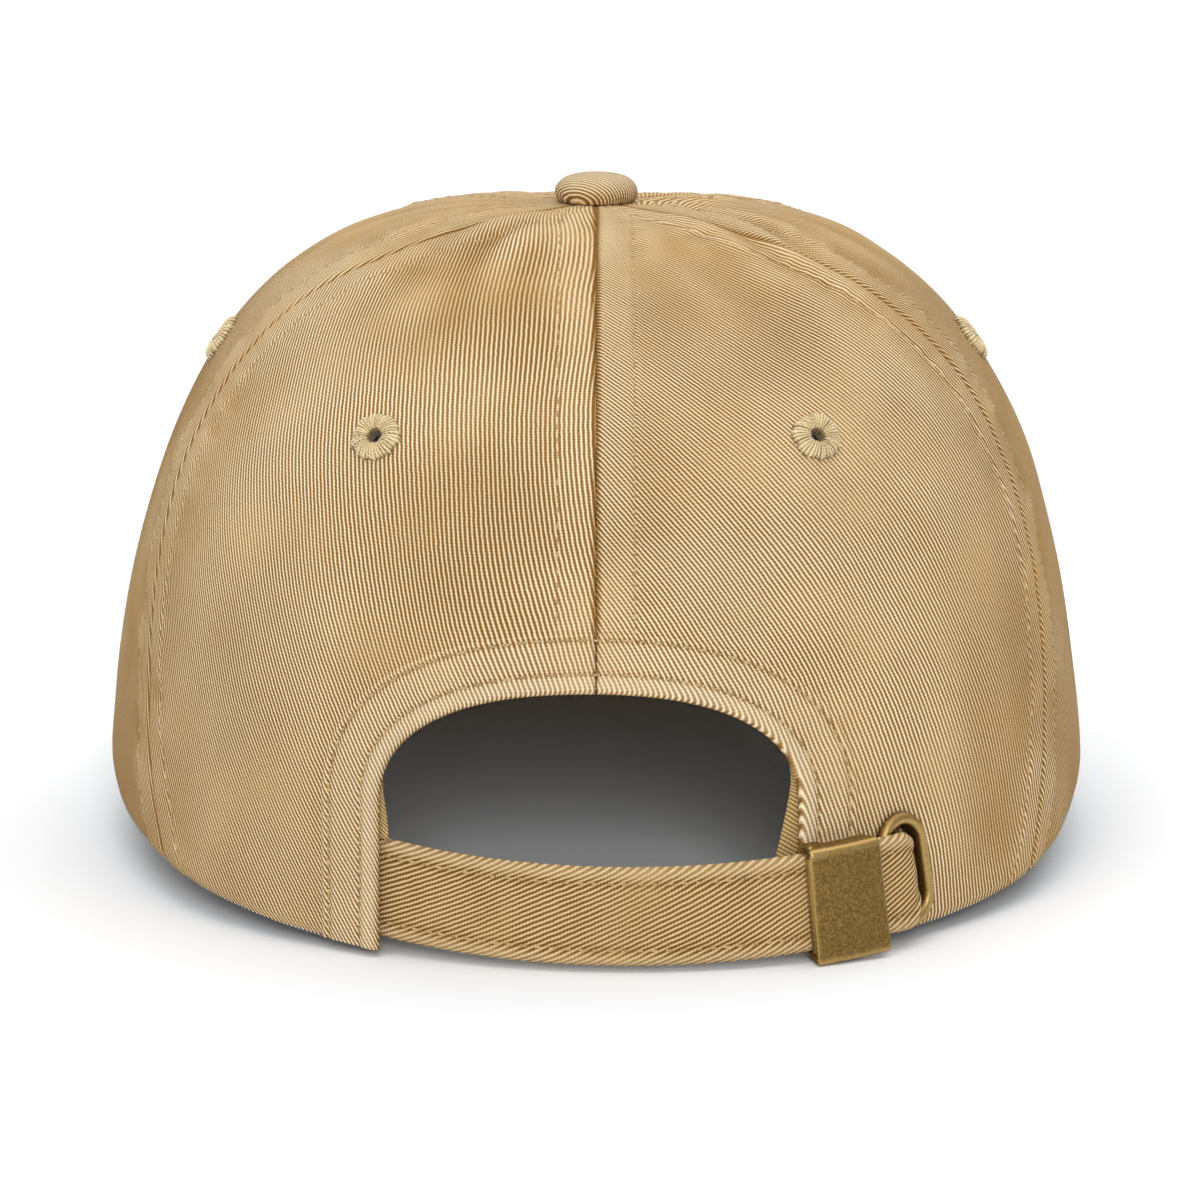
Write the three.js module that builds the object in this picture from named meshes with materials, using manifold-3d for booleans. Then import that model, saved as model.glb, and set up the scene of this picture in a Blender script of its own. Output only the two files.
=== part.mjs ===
// A soft six-panel baseball cap: twill crown, curved visor, and a strap with a brass
// buckle that closes the arch at the back.
// Millimetres. +Z is up, +Y points to the visor's tip, +X is right for someone behind the cap.
// The cap is built round the crown's vertical axis, then moved so that its box stands on z = 0.
import * as THREE from 'three';
import { mergeVertices } from 'three/addons/utils/BufferGeometryUtils.js';
import Module from 'manifold-3d';

const rad = THREE.MathUtils.degToRad;
const mix = THREE.MathUtils.lerp;
const smoothstep = THREE.MathUtils.smoothstep;

// ---------- Driving dimensions ----------

// Crown: a superellipse plan, and one cubic curve from the rim to the apex at every azimuth.
const CROWN_HALF_WIDTH = 88;
const CROWN_BACK = 99.8; // from the axis to the rim at the back
const CROWN_FRONT = 99;
const CROWN_SQUARENESS = 2.13; // 2 would be an ellipse
const CROWN_HEIGHT = 114.2;
const RIM_TILT = rad(8.76); // the visor holds the front of the rim up
const APEX_TOP = 0.975; // how far up the curve the panels go; the button covers the rest
const PANEL_ROWS = 14;
const PANEL_COLUMNS = 10;

// How the curve's inner points sit at the side, the back and the front.
const WALL_FLARE = { side: -0.078, back: -0.05, front: 0 }; // share of the radius, outwards
const WALL_RISE = { side: 0.97, back: 0.72, front: 0.62 }; // share of the height
const TOP_REACH = { side: 0.454, back: 0.58, front: 0.52 }; // share of the radius
const TOP_LIFT = 1.1; // keeps the top slightly crowned

// Depths from the crown's outer face, inwards.
const PANEL_THICKNESS = 1;
const GAP = 0.3; // between pieces that are sewn against each other
const TAPE_OUTER = 1.5;
const TAPE_INNER = 2;
const TAPE_HALF_WIDTH = 4.5;
const TAPE_END_RADIUS = 15;

// Seams, as azimuths from +X, anticlockwise from above. The rear side seams wander.
const REAR_SEAM = -90;
const FRONT_SEAM = 90;
const REAR_SIDE_SEAM = [-37, -2, -41, -51]; // curve handles in degrees, rim to apex
const FRONT_SIDE_SEAM = [30, 26, 38, 40];

// Eyelets, on the right half; the left half mirrors them.
const EYELETS = [
  { place: 'rear', azimuth: -60.7, height: 82.3 },
  { place: 'side', azimuth: -3, height: 89.5 },
  { place: 'front', azimuth: 62, height: 86 },
];
const EYELET_BORE = 2.4; // radius cut in the panel
const EYELET_RADIUS = 4.6;
const EYELET_HOLE = 1.3;
const EYELET_SLEEVE = 1.9; // outer radius of its sleeve
const EYELET_DOME = 1.3; // how far it stands out
const EYELET_BACK = -2.1; // its inner ring's far face

// The arch at the back.
const ARCH_CENTRE_X = -1.2;
const ARCH_HALF_WIDTH = 35;
const ARCH_SPRING = 25; // height where the straight legs end
const ARCH_TOP = 44.7;
const ARCH_SQUARENESS = 2.3;
const FACING_WIDTH = 10;
const FACING_FOOT = 19; // the facing stops above the strap
const FACING_SPAN = [-122, -60]; // azimuths that clear both of its legs
const TOOL_REACH = 20; // how far a cutting tool runs past the cloth

// Sweatband.
const BAND_THICKNESS = 1.2;
const BAND_DEPTH = 2.6; // its outer face, round the sides and the front
const BAND_DEPTH_AT_CLOSURE = 5.6;
const BAND_FOOT = 0.8;
const BAND_FOOT_AT_VISOR = 3.6;
const BAND_HEIGHT = 33;
const BAND_RIGHT_END = -71.5; // azimuths
const BAND_LEFT_END = -118.5;

// Visor: a trough across and a gentle droop forwards.
const VISOR_TOP_AT_CROWN = 30.6; // height of its upper face at the crown's front
const VISOR_DROOP = 0.2355;
const VISOR_CORNER = 31; // azimuth of its right rear corner
const VISOR_MARGIN = 5.5; // how far it runs in under the panels
const VISOR_SIDE = [[81.5, 46.5], [100, 95], [82, 169], [0, 169]]; // right outline, as a cubic
const COVER_THICKNESS = 0.8;
const BOARD_THICKNESS = 1.8;
const BOARD_SETBACK = 1.4; // the covers run past the board's edge

// Button.
const BUTTON_RADIUS = 7.4;
const BUTTON_HEIGHT = 5;
const BUTTON_BELLY = 1.6; // height of its widest line
const BUTTON_TUCK = 1.2; // how far its cloth is gathered in below
const BUTTON_ROOF = 2; // between the shank's socket and the top
const SHANK_RADIUS = 1.4;
const SHANK_SOCKET = 1.8;
const RIVET_RADIUS = 7;
const RIVET_THICKNESS = 1.2;
const RIVET_DROP = 0.9; // its disc's depth under the panels

// Closure: the strap lies on a cone about an axis square to the rim's plane.
// Places on it are an angle about that axis, an offset from the strap's middle and a height
// above the rim.
const CONE_CENTRE = new THREE.Vector2(5.693, -24.053);
const CONE_RADIUS = 78.32; // at the rim's height
const CONE_SLOPE = 0.228; // how much the radius shrinks with height
const STRAP_THICKNESS = 1.4;
const STRAP_FOOT = 1.1;
const STRAP_TOP = 17.1;
const TAIL_FOOT = 4.6;
const TAIL_TOP = 15.2;
const TAIL_START = -54.3; // angle past which the strap is trimmed to its tail
const TAIL_TAPER = 2.4;
const WALL_OFFSET = -2.4; // the crown's outer face beside the buckle

const LOOP_THICKNESS = 0.5;
const LOOP_FOOT = 4;
const LOOP_TOP = 14;

const BUCKLE_START = -67.9;
const BUCKLE_END = -58;
const BASE_INNER = -1.4;
const BASE_OUTER = -0.95;
const EAR_THICKNESS = 0.5;
const EAR_CLEARANCE = 0.2; // from the strap's edges
const EAR_END = -63.8;
const EAR_MARGIN = 0.35; // metal left round the pin's hole
const FLANGE_THICKNESS = 0.3;
const FLANGE_CLEARANCE = 0.45; // from the ears, which lean a little to the pin
const COVER_INNER = 2.95;
const COVER_OUTER = 3.5;
const COVER_LEAD = 0.7; // how far the cover runs past the pin
const WEB_SETBACK = 0.6; // keeps the knuckle's web off the lower ear as the cover swings
const FLANGE_INNER = -0.9;
const PIN_ANGLE = -67.2;
const PIN_OFFSET = 1.8;
const PIN_RADIUS = 0.45;
const PIN_BORE = 0.6;
const KNUCKLE_RADIUS = 0.95;

const RING_ANGLE = -52;
const RING_HALF_WIDTH = 5.5;
const RING_FOOT = 0.4;
const RING_TOP = 19.4;
const RING_WIRE = 2;
const SLEEVE_THICKNESS = 0.6;
const RING_RISE = 1.9; // above the panel
const SLEEVE_END = -2.4; // below the panel
const WASHER_SPAN = [-2.3, -1.85];

const LABEL_START = -152;
const LABEL_END = -139;
const LABEL_FOOT = 6;
const LABEL_HEIGHT = 24;
const LABEL_THICKNESS = 0.5;

// ---------- Materials ----------

const material = (color, roughness, metalness = 0) =>
  new THREE.MeshStandardMaterial({ color, roughness, metalness });
const twill = () => material(0xc4a473, 0.85);
const thread = () => material(0xc9b07c, 0.7);
const tape = () => material(0xb89a6a, 0.85);
const board = () => material(0xd8d3c4, 0.6);
const brass = () => material(0x79613a, 0.4, 0.9);
const label = () => material(0xe9e4d6, 0.8);

// ---------- Solids from grids and loops ----------

function indexed(points, triangles) {
  const geometry = new THREE.BufferGeometry().setFromPoints(points);
  geometry.setIndex(triangles);
  geometry.computeVertexNormals();
  return geometry;
}

// A closed slab between two grids of points, outer(i, j) and inner(i, j). Seen from outside,
// i runs to the right and j upwards.
function slab(columns, rows, outer, inner) {
  const points = [];
  const index = (face, i, j) => (face * (rows + 1) + j) * (columns + 1) + i;
  for (const face of [outer, inner]) {
    for (let j = 0; j <= rows; j++) {
      for (let i = 0; i <= columns; i++) points.push(face(i, j));
    }
  }
  const triangles = [];
  const quad = (a, b, c, d) => triangles.push(a, b, c, a, c, d);
  for (let j = 0; j < rows; j++) {
    for (let i = 0; i < columns; i++) {
      quad(index(0, i, j), index(0, i + 1, j), index(0, i + 1, j + 1), index(0, i, j + 1));
      quad(index(1, i, j), index(1, i, j + 1), index(1, i + 1, j + 1), index(1, i + 1, j));
    }
    quad(index(0, 0, j), index(0, 0, j + 1), index(1, 0, j + 1), index(1, 0, j));
    quad(index(0, columns, j), index(1, columns, j), index(1, columns, j + 1), index(0, columns, j + 1));
  }
  for (let i = 0; i < columns; i++) {
    quad(index(0, i, 0), index(1, i, 0), index(1, i + 1, 0), index(0, i + 1, 0));
    quad(index(0, i, rows), index(0, i + 1, rows), index(1, i + 1, rows), index(1, i, rows));
  }
  return indexed(points, triangles);
}

// A solid through a row of equal loops of points. Seen along the row, each loop runs clockwise.
function loft(loops, closed = false) {
  const size = loops[0].length;
  const points = loops.flat();
  const triangles = [];
  const last = closed ? loops.length : loops.length - 1;
  for (let s = 0; s < last; s++) {
    const next = (s + 1) % loops.length;
    for (let k = 0; k < size; k++) {
      const l = (k + 1) % size;
      const [a, b, c, d] = [s * size + k, s * size + l, next * size + l, next * size + k];
      triangles.push(a, b, c, a, c, d);
    }
  }
  if (!closed) {
    const end = (loops.length - 1) * size;
    for (let k = 1; k < size - 1; k++) {
      triangles.push(0, k + 1, k);
      triangles.push(end, end + k, end + k + 1);
    }
  }
  return indexed(points, triangles);
}

// A flat outline [[x, y], ...] carried from one end to the other by place(x, y, end).
function prism(outline, place) {
  const flat = outline.map(([x, y]) => new THREE.Vector2(x, y));
  if (THREE.ShapeUtils.isClockWise(flat)) flat.reverse();
  const count = flat.length;
  const points = [0, 1].flatMap((end) => flat.map((p) => place(p.x, p.y, end)));
  const triangles = [];
  for (const [a, b, c] of THREE.ShapeUtils.triangulateShape(flat, [])) {
    triangles.push(a, c, b);
    triangles.push(count + a, count + b, count + c);
  }
  for (let k = 0; k < count; k++) {
    const l = (k + 1) % count;
    triangles.push(k, l, count + l, k, count + l, count + k);
  }
  return indexed(points, triangles);
}

// ---------- Joins and cuts ----------

const wasm = await Module();
wasm.setup();

function solid(geometry) {
  const bare = geometry.clone();
  bare.deleteAttribute('normal');
  bare.deleteAttribute('uv');
  const merged = mergeVertices(bare, 1e-4);
  return new wasm.Manifold(new wasm.Mesh({
    numProp: 3,
    vertProperties: merged.attributes.position.array,
    triVerts: new Uint32Array(merged.index.array),
  }));
}

function geometryOf(made) {
  const result = made.getMesh();
  const geometry = new THREE.BufferGeometry();
  geometry.setAttribute('position', new THREE.BufferAttribute(result.vertProperties, 3));
  geometry.setIndex(new THREE.BufferAttribute(result.triVerts, 1));
  geometry.computeVertexNormals();
  return geometry;
}

const cut = (geometry, ...tools) =>
  geometryOf(tools.reduce((whole, tool) => whole.subtract(solid(tool)), solid(geometry)));

const joined = (...parts) =>
  geometryOf(parts.map(solid).reduce((whole, part) => whole.add(part)));

// ---------- The crown's surface ----------

const rimPlane = (y) => Math.tan(RIM_TILT) * (y + CROWN_BACK);

function crownRadius(azimuth) {
  const reach = Math.sin(azimuth) < 0 ? CROWN_BACK : CROWN_FRONT;
  const across = Math.abs(Math.cos(azimuth) / CROWN_HALF_WIDTH) ** CROWN_SQUARENESS;
  const along = Math.abs(Math.sin(azimuth) / reach) ** CROWN_SQUARENESS;
  return (across + along) ** (-1 / CROWN_SQUARENESS);
}

// The trough's curvature puts the visor's corners on the rim's plane.
const corner = new THREE.Vector2(Math.cos(rad(VISOR_CORNER)), Math.sin(rad(VISOR_CORNER)))
  .multiplyScalar(crownRadius(rad(VISOR_CORNER)));
const cornerDrop = VISOR_TOP_AT_CROWN + GAP + VISOR_DROOP * (CROWN_FRONT - corner.y) - rimPlane(corner.y);
const VISOR_TROUGH = cornerDrop / corner.x ** 2;
const visorTop = (x, y) => VISOR_TOP_AT_CROWN - VISOR_TROUGH * x ** 2 - VISOR_DROOP * (y - CROWN_FRONT);

const overVisor = (azimuth) => Math.sin(azimuth) > Math.sin(rad(VISOR_CORNER - 1));
const rimHeight = (azimuth, x, y) => (overVisor(azimuth) ? visorTop(x, y) + GAP : rimPlane(y));

function around(azimuth, values) {
  const end = Math.sin(azimuth) < 0 ? values.back : values.front;
  return mix(values.side, end, Math.sin(azimuth) ** 2);
}

const cubic = (t, a, b, c, d) =>
  (1 - t) ** 3 * a + 3 * t * (1 - t) ** 2 * b + 3 * t * t * (1 - t) * c + t ** 3 * d;

// A point of the crown's outer face; t runs from 0 at the rim to 1 at the apex.
function crownPoint(azimuth, t) {
  const r = crownRadius(azimuth);
  const foot = rimHeight(azimuth, r * Math.cos(azimuth), r * Math.sin(azimuth));
  const shoulder = mix(foot, CROWN_HEIGHT, around(azimuth, WALL_RISE));
  const radius = cubic(t, r, r * (1 + around(azimuth, WALL_FLARE)), r * around(azimuth, TOP_REACH), 0);
  const height = cubic(t, foot, shoulder, CROWN_HEIGHT + TOP_LIFT, CROWN_HEIGHT);
  return new THREE.Vector3(radius * Math.cos(azimuth), radius * Math.sin(azimuth), height);
}

function crownNormal(azimuth, t) {
  const step = 1e-3;
  const low = Math.min(t, 1 - 2 * step);
  const across = crownPoint(azimuth + step, low).sub(crownPoint(azimuth - step, low));
  const up = crownPoint(azimuth, low + step).sub(crownPoint(azimuth, Math.max(low - step, 0)));
  return across.cross(up).normalize();
}

const crownInside = (azimuth, t, depth) =>
  crownPoint(azimuth, t).addScaledVector(crownNormal(azimuth, t), -depth);

// The t at which measure(point) reaches a value, where measure grows with t.
function crownSearch(azimuth, value, measure) {
  let [low, high] = [0, 1];
  for (let k = 0; k < 40; k++) {
    const middle = (low + high) / 2;
    if (measure(crownPoint(azimuth, middle)) < value) low = middle;
    else high = middle;
  }
  return (low + high) / 2;
}

const atHeight = (azimuth, height) => crownSearch(azimuth, height, (p) => p.z);
const atRadius = (azimuth, radius) => crownSearch(azimuth, -radius, (p) => -Math.hypot(p.x, p.y));
const aboveRim = (azimuth, height) => atHeight(azimuth, crownPoint(azimuth, 0).z + height);

// ---------- Crown panels and what lies on their seams ----------

const straightSeam = (degrees) => () => rad(degrees);
const rightSeam = (handles) => (t) => rad(cubic(t, ...handles));
const leftSeam = (handles) => (t) => rad(180 - cubic(t, ...handles));

const seams = {
  rear: straightSeam(REAR_SEAM),
  rear_right: rightSeam(REAR_SIDE_SEAM),
  front_right: rightSeam(FRONT_SIDE_SEAM),
  front: straightSeam(FRONT_SEAM),
  front_left: leftSeam(FRONT_SIDE_SEAM),
  rear_left: leftSeam(REAR_SIDE_SEAM),
};

const rowPlace = (row) => (APEX_TOP * row) / PANEL_ROWS;

function panel(fromSeam, toSeam) {
  const middle = (fromSeam(0) + toSeam(0)) / 2;
  const place = (depth) => (i, j) => {
    const t = rowPlace(j);
    const radius = Math.hypot(crownPoint(middle, t).x, crownPoint(middle, t).y);
    const edge = GAP / 2 / radius;
    const azimuth = mix(fromSeam(t) + edge, toSeam(t) - edge, i / PANEL_COLUMNS);
    const point = crownInside(azimuth, t, depth);
    if (j === 0) point.z = rimHeight(middle, point.x, point.y);
    return point;
  };
  return slab(PANEL_COLUMNS, PANEL_ROWS, place(0), place(PANEL_THICKNESS));
}

// A tape bends where the panels' rows do, so that it lies along them.
function seamTape(seam, foot) {
  const columns = 2;
  const top = atRadius(seam(APEX_TOP), TAPE_END_RADIUS);
  const bends = Array.from({ length: PANEL_ROWS }, (_, row) => rowPlace(row))
    .filter((t) => t > foot && t < top);
  const stations = [foot, ...bends, top];
  const place = (depth) => (i, j) => {
    const t = stations[j];
    const point = crownPoint(seam(t), t);
    const spread = TAPE_HALF_WIDTH / Math.hypot(point.x, point.y);
    return crownInside(seam(t) + mix(-spread, spread, i / columns), t, depth);
  };
  return slab(columns, stations.length - 1, place(TAPE_OUTER), place(TAPE_INNER));
}

// ---------- The arch at the back ----------

// The arch's outline, let out by a margin, as a prism along Y through the rear wall.
function archTool(margin) {
  const steps = 20;
  const half = ARCH_HALF_WIDTH + margin;
  const rise = ARCH_TOP - ARCH_SPRING + margin;
  const power = 2 / ARCH_SQUARENESS;
  const outline = [[ARCH_CENTRE_X - half, -TOOL_REACH], [ARCH_CENTRE_X + half, -TOOL_REACH]];
  for (let k = 0; k <= steps; k++) {
    const angle = (Math.PI * k) / steps;
    const x = Math.sign(Math.cos(angle)) * Math.abs(Math.cos(angle)) ** power * half;
    outline.push([ARCH_CENTRE_X + x, ARCH_SPRING + Math.sin(angle) ** power * rise]);
  }
  const [back, front] = [-CROWN_BACK - TOOL_REACH, -CROWN_BACK / 3];
  return prism(outline, (x, z, end) => new THREE.Vector3(x, end ? back : front, z));
}

// A strip behind the arch's edge, cut from a sheet that follows the wall.
function archFacing() {
  const columns = 24;
  const rows = 6;
  const place = (depth) => (i, j) => {
    const azimuth = rad(mix(...FACING_SPAN, i / columns));
    const foot = aboveRim(azimuth, FACING_FOOT);
    const top = atHeight(azimuth, ARCH_TOP + FACING_WIDTH + 2);
    return crownInside(azimuth, mix(foot, top, j / rows), depth);
  };
  const sheet = solid(slab(columns, rows, place(TAPE_OUTER), place(TAPE_INNER)));
  const ring = solid(archTool(FACING_WIDTH)).subtract(solid(archTool(0)));
  return geometryOf(sheet.intersect(ring));
}

// ---------- Eyelets ----------

const eyeletFrame = ({ azimuth, height }, mirror) => {
  const place = rad(mirror ? 180 - azimuth : azimuth);
  const t = atHeight(place, height);
  const turn = new THREE.Quaternion().setFromUnitVectors(new THREE.Vector3(0, 0, 1), crownNormal(place, t));
  return { position: crownPoint(place, t), turn };
};

// A cylinder that cuts the panel square to its face.
function eyeletTool(frame) {
  const tool = new THREE.CylinderGeometry(EYELET_BORE, EYELET_BORE, TOOL_REACH / 2, 12);
  tool.rotateX(Math.PI / 2).applyQuaternion(frame.turn);
  return tool.translate(...frame.position.toArray());
}

const lathe = (profile, segments) =>
  new THREE.LatheGeometry(profile.map(([r, z]) => new THREE.Vector2(r, z)), segments)
    .rotateX(Math.PI / 2);

// Thread wound round the hole: a domed ring outside, a sleeve, and a flat ring inside.
function eyelet() {
  const ring = EYELET_RADIUS - 0.8;
  const start = [ring, EYELET_BACK];
  const profile = [
    start, [ring, EYELET_BACK + 0.6], [EYELET_SLEEVE, EYELET_BACK + 0.6], [EYELET_SLEEVE, GAP],
    [EYELET_RADIUS - 0.3, GAP], [EYELET_RADIUS, 0.7], [EYELET_RADIUS - 1.2, EYELET_DOME],
    [EYELET_HOLE + 0.8, EYELET_DOME - 0.2], [EYELET_HOLE, GAP], [EYELET_HOLE, EYELET_BACK + GAP],
    [EYELET_HOLE + 0.4, EYELET_BACK], start,
  ];
  return lathe(profile, 14);
}

// ---------- Button and rivet ----------

// A flattened dome with a socket below for the rivet's shank.
function buttonCap() {
  const foot = CROWN_HEIGHT + GAP;
  const socketTop = foot + BUTTON_HEIGHT - BUTTON_ROOF;
  const profile = [[0, socketTop], [SHANK_SOCKET, socketTop], [SHANK_SOCKET, foot]];
  profile.push([BUTTON_RADIUS - BUTTON_TUCK, foot]);
  const steps = 8;
  for (let k = 0; k <= steps; k++) {
    const angle = mix(-0.35, Math.PI / 2, k / steps);
    const swell = Math.max(Math.cos(angle), 0) ** 0.7;
    const height = foot + BUTTON_BELLY + (BUTTON_HEIGHT - BUTTON_BELLY) * Math.sin(angle);
    profile.push([BUTTON_RADIUS * swell, height]);
  }
  profile[profile.length - 1][0] = 0;
  return lathe(profile, 24);
}

// The disc inside the crown and the shank that holds the button to it.
function buttonRivet() {
  const top = CROWN_HEIGHT + BUTTON_HEIGHT - BUTTON_ROOF - GAP / 2;
  const disc = CROWN_HEIGHT - PANEL_THICKNESS - RIVET_DROP;
  const profile = [
    [0, disc - RIVET_THICKNESS], [RIVET_RADIUS - 1, disc - RIVET_THICKNESS],
    [RIVET_RADIUS, disc - RIVET_THICKNESS / 2], [RIVET_RADIUS - 0.4, disc], [SHANK_RADIUS, disc],
    [SHANK_RADIUS, top], [0, top],
  ];
  return lathe(profile, 20);
}

// ---------- Sweatband and label ----------

const nearClosure = (azimuth) =>
  1 - smoothstep(Math.sin(azimuth), Math.sin(rad(-46)), Math.sin(rad(-30)));
const nearVisor = (azimuth) => smoothstep(Math.sin(azimuth), Math.sin(rad(18)), Math.sin(rad(28)));
const bandDepth = (azimuth) => mix(BAND_DEPTH, BAND_DEPTH_AT_CLOSURE, nearClosure(azimuth));
const bandFoot = (azimuth) => mix(BAND_FOOT, BAND_FOOT_AT_VISOR, nearVisor(azimuth));

// A sheet inside the crown that follows it from one azimuth to another.
function lining(start, end, columns, rows, depth, thickness, foot, top) {
  const place = (extra) => (i, j) => {
    const azimuth = rad(mix(start, end, i / columns));
    const height = mix(foot(azimuth), top(azimuth), j / rows);
    return crownInside(azimuth, aboveRim(azimuth, height), depth(azimuth) + extra);
  };
  return slab(columns, rows, place(0), place(thickness));
}

const sweatband = () =>
  lining(BAND_RIGHT_END, BAND_LEFT_END + 360, 72, 3, bandDepth, BAND_THICKNESS, bandFoot, () => BAND_HEIGHT);

const careLabel = () => {
  const depth = (azimuth) => bandDepth(azimuth) + BAND_THICKNESS + GAP;
  const [foot, top] = [() => LABEL_FOOT, () => LABEL_FOOT + LABEL_HEIGHT];
  return lining(LABEL_START, LABEL_END, 4, 2, depth, LABEL_THICKNESS, foot, top);
};

// ---------- Visor ----------

// The visor's plan: u runs from its right corner to its left one, v from the head outwards.
function visorPlan(u, v, setback) {
  const side = u < 0.5 ? 1 : -1;
  const t = u < 0.5 ? 2 * u : 2 - 2 * u;
  const [a, b, c, d] = VISOR_SIDE;
  const outer = new THREE.Vector2(cubic(t, a[0], b[0], c[0], d[0]), cubic(t, a[1], b[1], c[1], d[1]));
  const azimuth = mix(rad(VISOR_CORNER), Math.PI / 2, t);
  const reach = crownRadius(azimuth) - VISOR_MARGIN;
  const inner = new THREE.Vector2(reach * Math.cos(azimuth), reach * Math.sin(azimuth));
  const length = outer.distanceTo(inner);
  const point = inner.lerp(outer, (v * (length - setback)) / length);
  point.x *= side;
  return point;
}

// One layer of the visor; top is its depth under the visor's upper face.
function visorLayer(top, thickness, setback) {
  const columns = 24;
  const rows = 6;
  const place = (depth) => (i, j) => {
    const p = visorPlan(i / columns, 1 - j / rows, setback);
    return new THREE.Vector3(p.x, p.y, visorTop(p.x, p.y) - depth);
  };
  return slab(columns, rows, place(top), place(top + thickness));
}

const boardTop = COVER_THICKNESS + GAP;
const underTop = boardTop + BOARD_THICKNESS + GAP;

// ---------- Closure ----------

// The closure's frame: x and y in the rim's plane, z square to it.
const closure = new THREE.Group();
closure.position.set(0, 0, rimPlane(0));
closure.rotation.x = RIM_TILT;

function closurePoint(angle, offset, height) {
  const radius = CONE_RADIUS - CONE_SLOPE * height + offset;
  const x = CONE_CENTRE.x + radius * Math.cos(rad(angle));
  return new THREE.Vector3(x, CONE_CENTRE.y + radius * Math.sin(rad(angle)), height);
}

const degreesAlong = (length) => THREE.MathUtils.radToDeg(length / CONE_RADIUS);

// A strap along a smooth path of [angle, offset], with its own foot and top at each angle.
function webbing(path, steps, thickness, foot, top) {
  const scale = rad(CONE_RADIUS);
  const curve = new THREE.CatmullRomCurve3(
    path.map(([angle, offset]) => new THREE.Vector3(angle * scale, offset, 0)), false, 'centripetal');
  const loops = [];
  for (let s = 0; s <= steps; s++) {
    const middle = curve.getPointAt(s / steps);
    const along = curve.getTangentAt(s / steps);
    const side = new THREE.Vector3(-along.y, along.x, 0).multiplyScalar(thickness / 2);
    const [out, back] = [middle.clone().add(side), middle.clone().sub(side)];
    const angle = middle.x / scale;
    const [low, high] = [foot(angle), top(angle)];
    loops.push([
      closurePoint(back.x / scale, back.y, low), closurePoint(back.x / scale, back.y, high),
      closurePoint(out.x / scale, out.y, high), closurePoint(out.x / scale, out.y, low),
    ]);
  }
  return loft(loops);
}

// The strap starts inside the left leg, lies over the buckle's base and the slot ring, and
// its tail turns in through the slot.
function strap() {
  const path = [
    [-128, 0.8], [-125, 0.3], [-122.5, 0], [-110, 0], [-95, 0], [-80, 0], [-70, 0], [-60, 0], [-57.5, 0],
    [-55.8, 0.5], [-54.3, 0.5], [-52.7, -1], [-51.4, -3.2], [-50.4, -5], [-49.2, -6],
    [-47.5, -6.3], [-35, -6],
  ];
  const trimmed = (angle) => smoothstep(angle, TAIL_START - TAIL_TAPER, TAIL_START);
  const foot = (angle) => mix(STRAP_FOOT, TAIL_FOOT, trimmed(angle));
  const top = (angle) => mix(STRAP_TOP, TAIL_TOP, trimmed(angle));
  return webbing(path, 90, STRAP_THICKNESS, foot, top);
}

// The loop is sewn inside the right leg, turns round its edge and runs under the buckle,
// where its end folds round the base plate.
function buckleLoop() {
  const path = [
    [-58.5, -4.45], [-62, -4.45], [-67, -4.4], [-68.7, -4.1], [-69.35, -3.1], [-68.7, -2.05],
    [-67, -1.87], [-63, -1.85], [-58.4, -1.85], [-57.4, -1.6], [-57.15, -1.05],
  ];
  return webbing(path, 44, LOOP_THICKNESS, () => LOOP_FOOT, () => LOOP_TOP);
}

// An outline in [angle, offset] carried across the strap between two heights. Angle, offset
// and height make a left-handed set, so the prism runs downwards.
const acrossStrap = (outline, low, high) =>
  prism(outline, (angle, offset, end) => closurePoint(angle, offset, end ? low : high));

// A plate between two offsets, curved with the strap.
function plateOutline(start, end, inner, outer) {
  const steps = 4;
  const angles = Array.from({ length: steps + 1 }, (_, k) => mix(start, end, k / steps));
  return [...angles.map((a) => [a, inner]), ...angles.reverse().map((a) => [a, outer])];
}

// A round bar along the pin's line.
function pinBar(radius, low, high) {
  const [from, to] = [closurePoint(PIN_ANGLE, PIN_OFFSET, low), closurePoint(PIN_ANGLE, PIN_OFFSET, high)];
  const along = to.clone().sub(from);
  const bar = new THREE.CylinderGeometry(radius, radius, along.length(), 12);
  const turn = new THREE.Quaternion().setFromUnitVectors(new THREE.Vector3(0, 1, 0), along.normalize());
  return bar.applyQuaternion(turn).translate(...from.add(to).multiplyScalar(0.5).toArray());
}

const earFoot = STRAP_FOOT - EAR_CLEARANCE - EAR_THICKNESS;
const earTop = STRAP_TOP + EAR_CLEARANCE + EAR_THICKNESS;
const coverFoot = earFoot - FLANGE_CLEARANCE - FLANGE_THICKNESS;
const coverTop = earTop + FLANGE_CLEARANCE + FLANGE_THICKNESS;

// A base plate with two ears, rounded about the pin so that the cover swings clear of them.
function buckleFrame() {
  const base = acrossStrap(plateOutline(BUCKLE_START, BUCKLE_END, BASE_INNER, BASE_OUTER), earFoot, earTop);
  const reach = PIN_BORE + EAR_MARGIN;
  const steps = 8;
  const head = Array.from({ length: steps + 1 }, (_, k) => {
    const turn = (Math.PI * k) / steps;
    return [PIN_ANGLE + degreesAlong(reach * Math.cos(turn)), PIN_OFFSET + reach * Math.sin(turn)];
  });
  const start = head[steps][0];
  const side = [[start, BASE_INNER], [EAR_END, BASE_INNER], [EAR_END, BASE_OUTER + reach], ...head];
  const ears = [[earFoot, earFoot + EAR_THICKNESS], [earTop - EAR_THICKNESS, earTop]]
    .map(([low, high]) => acrossStrap(side, low, high));
  return cut(joined(base, ...ears), pinBar(PIN_BORE, earFoot - 1, earTop + 1));
}

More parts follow.
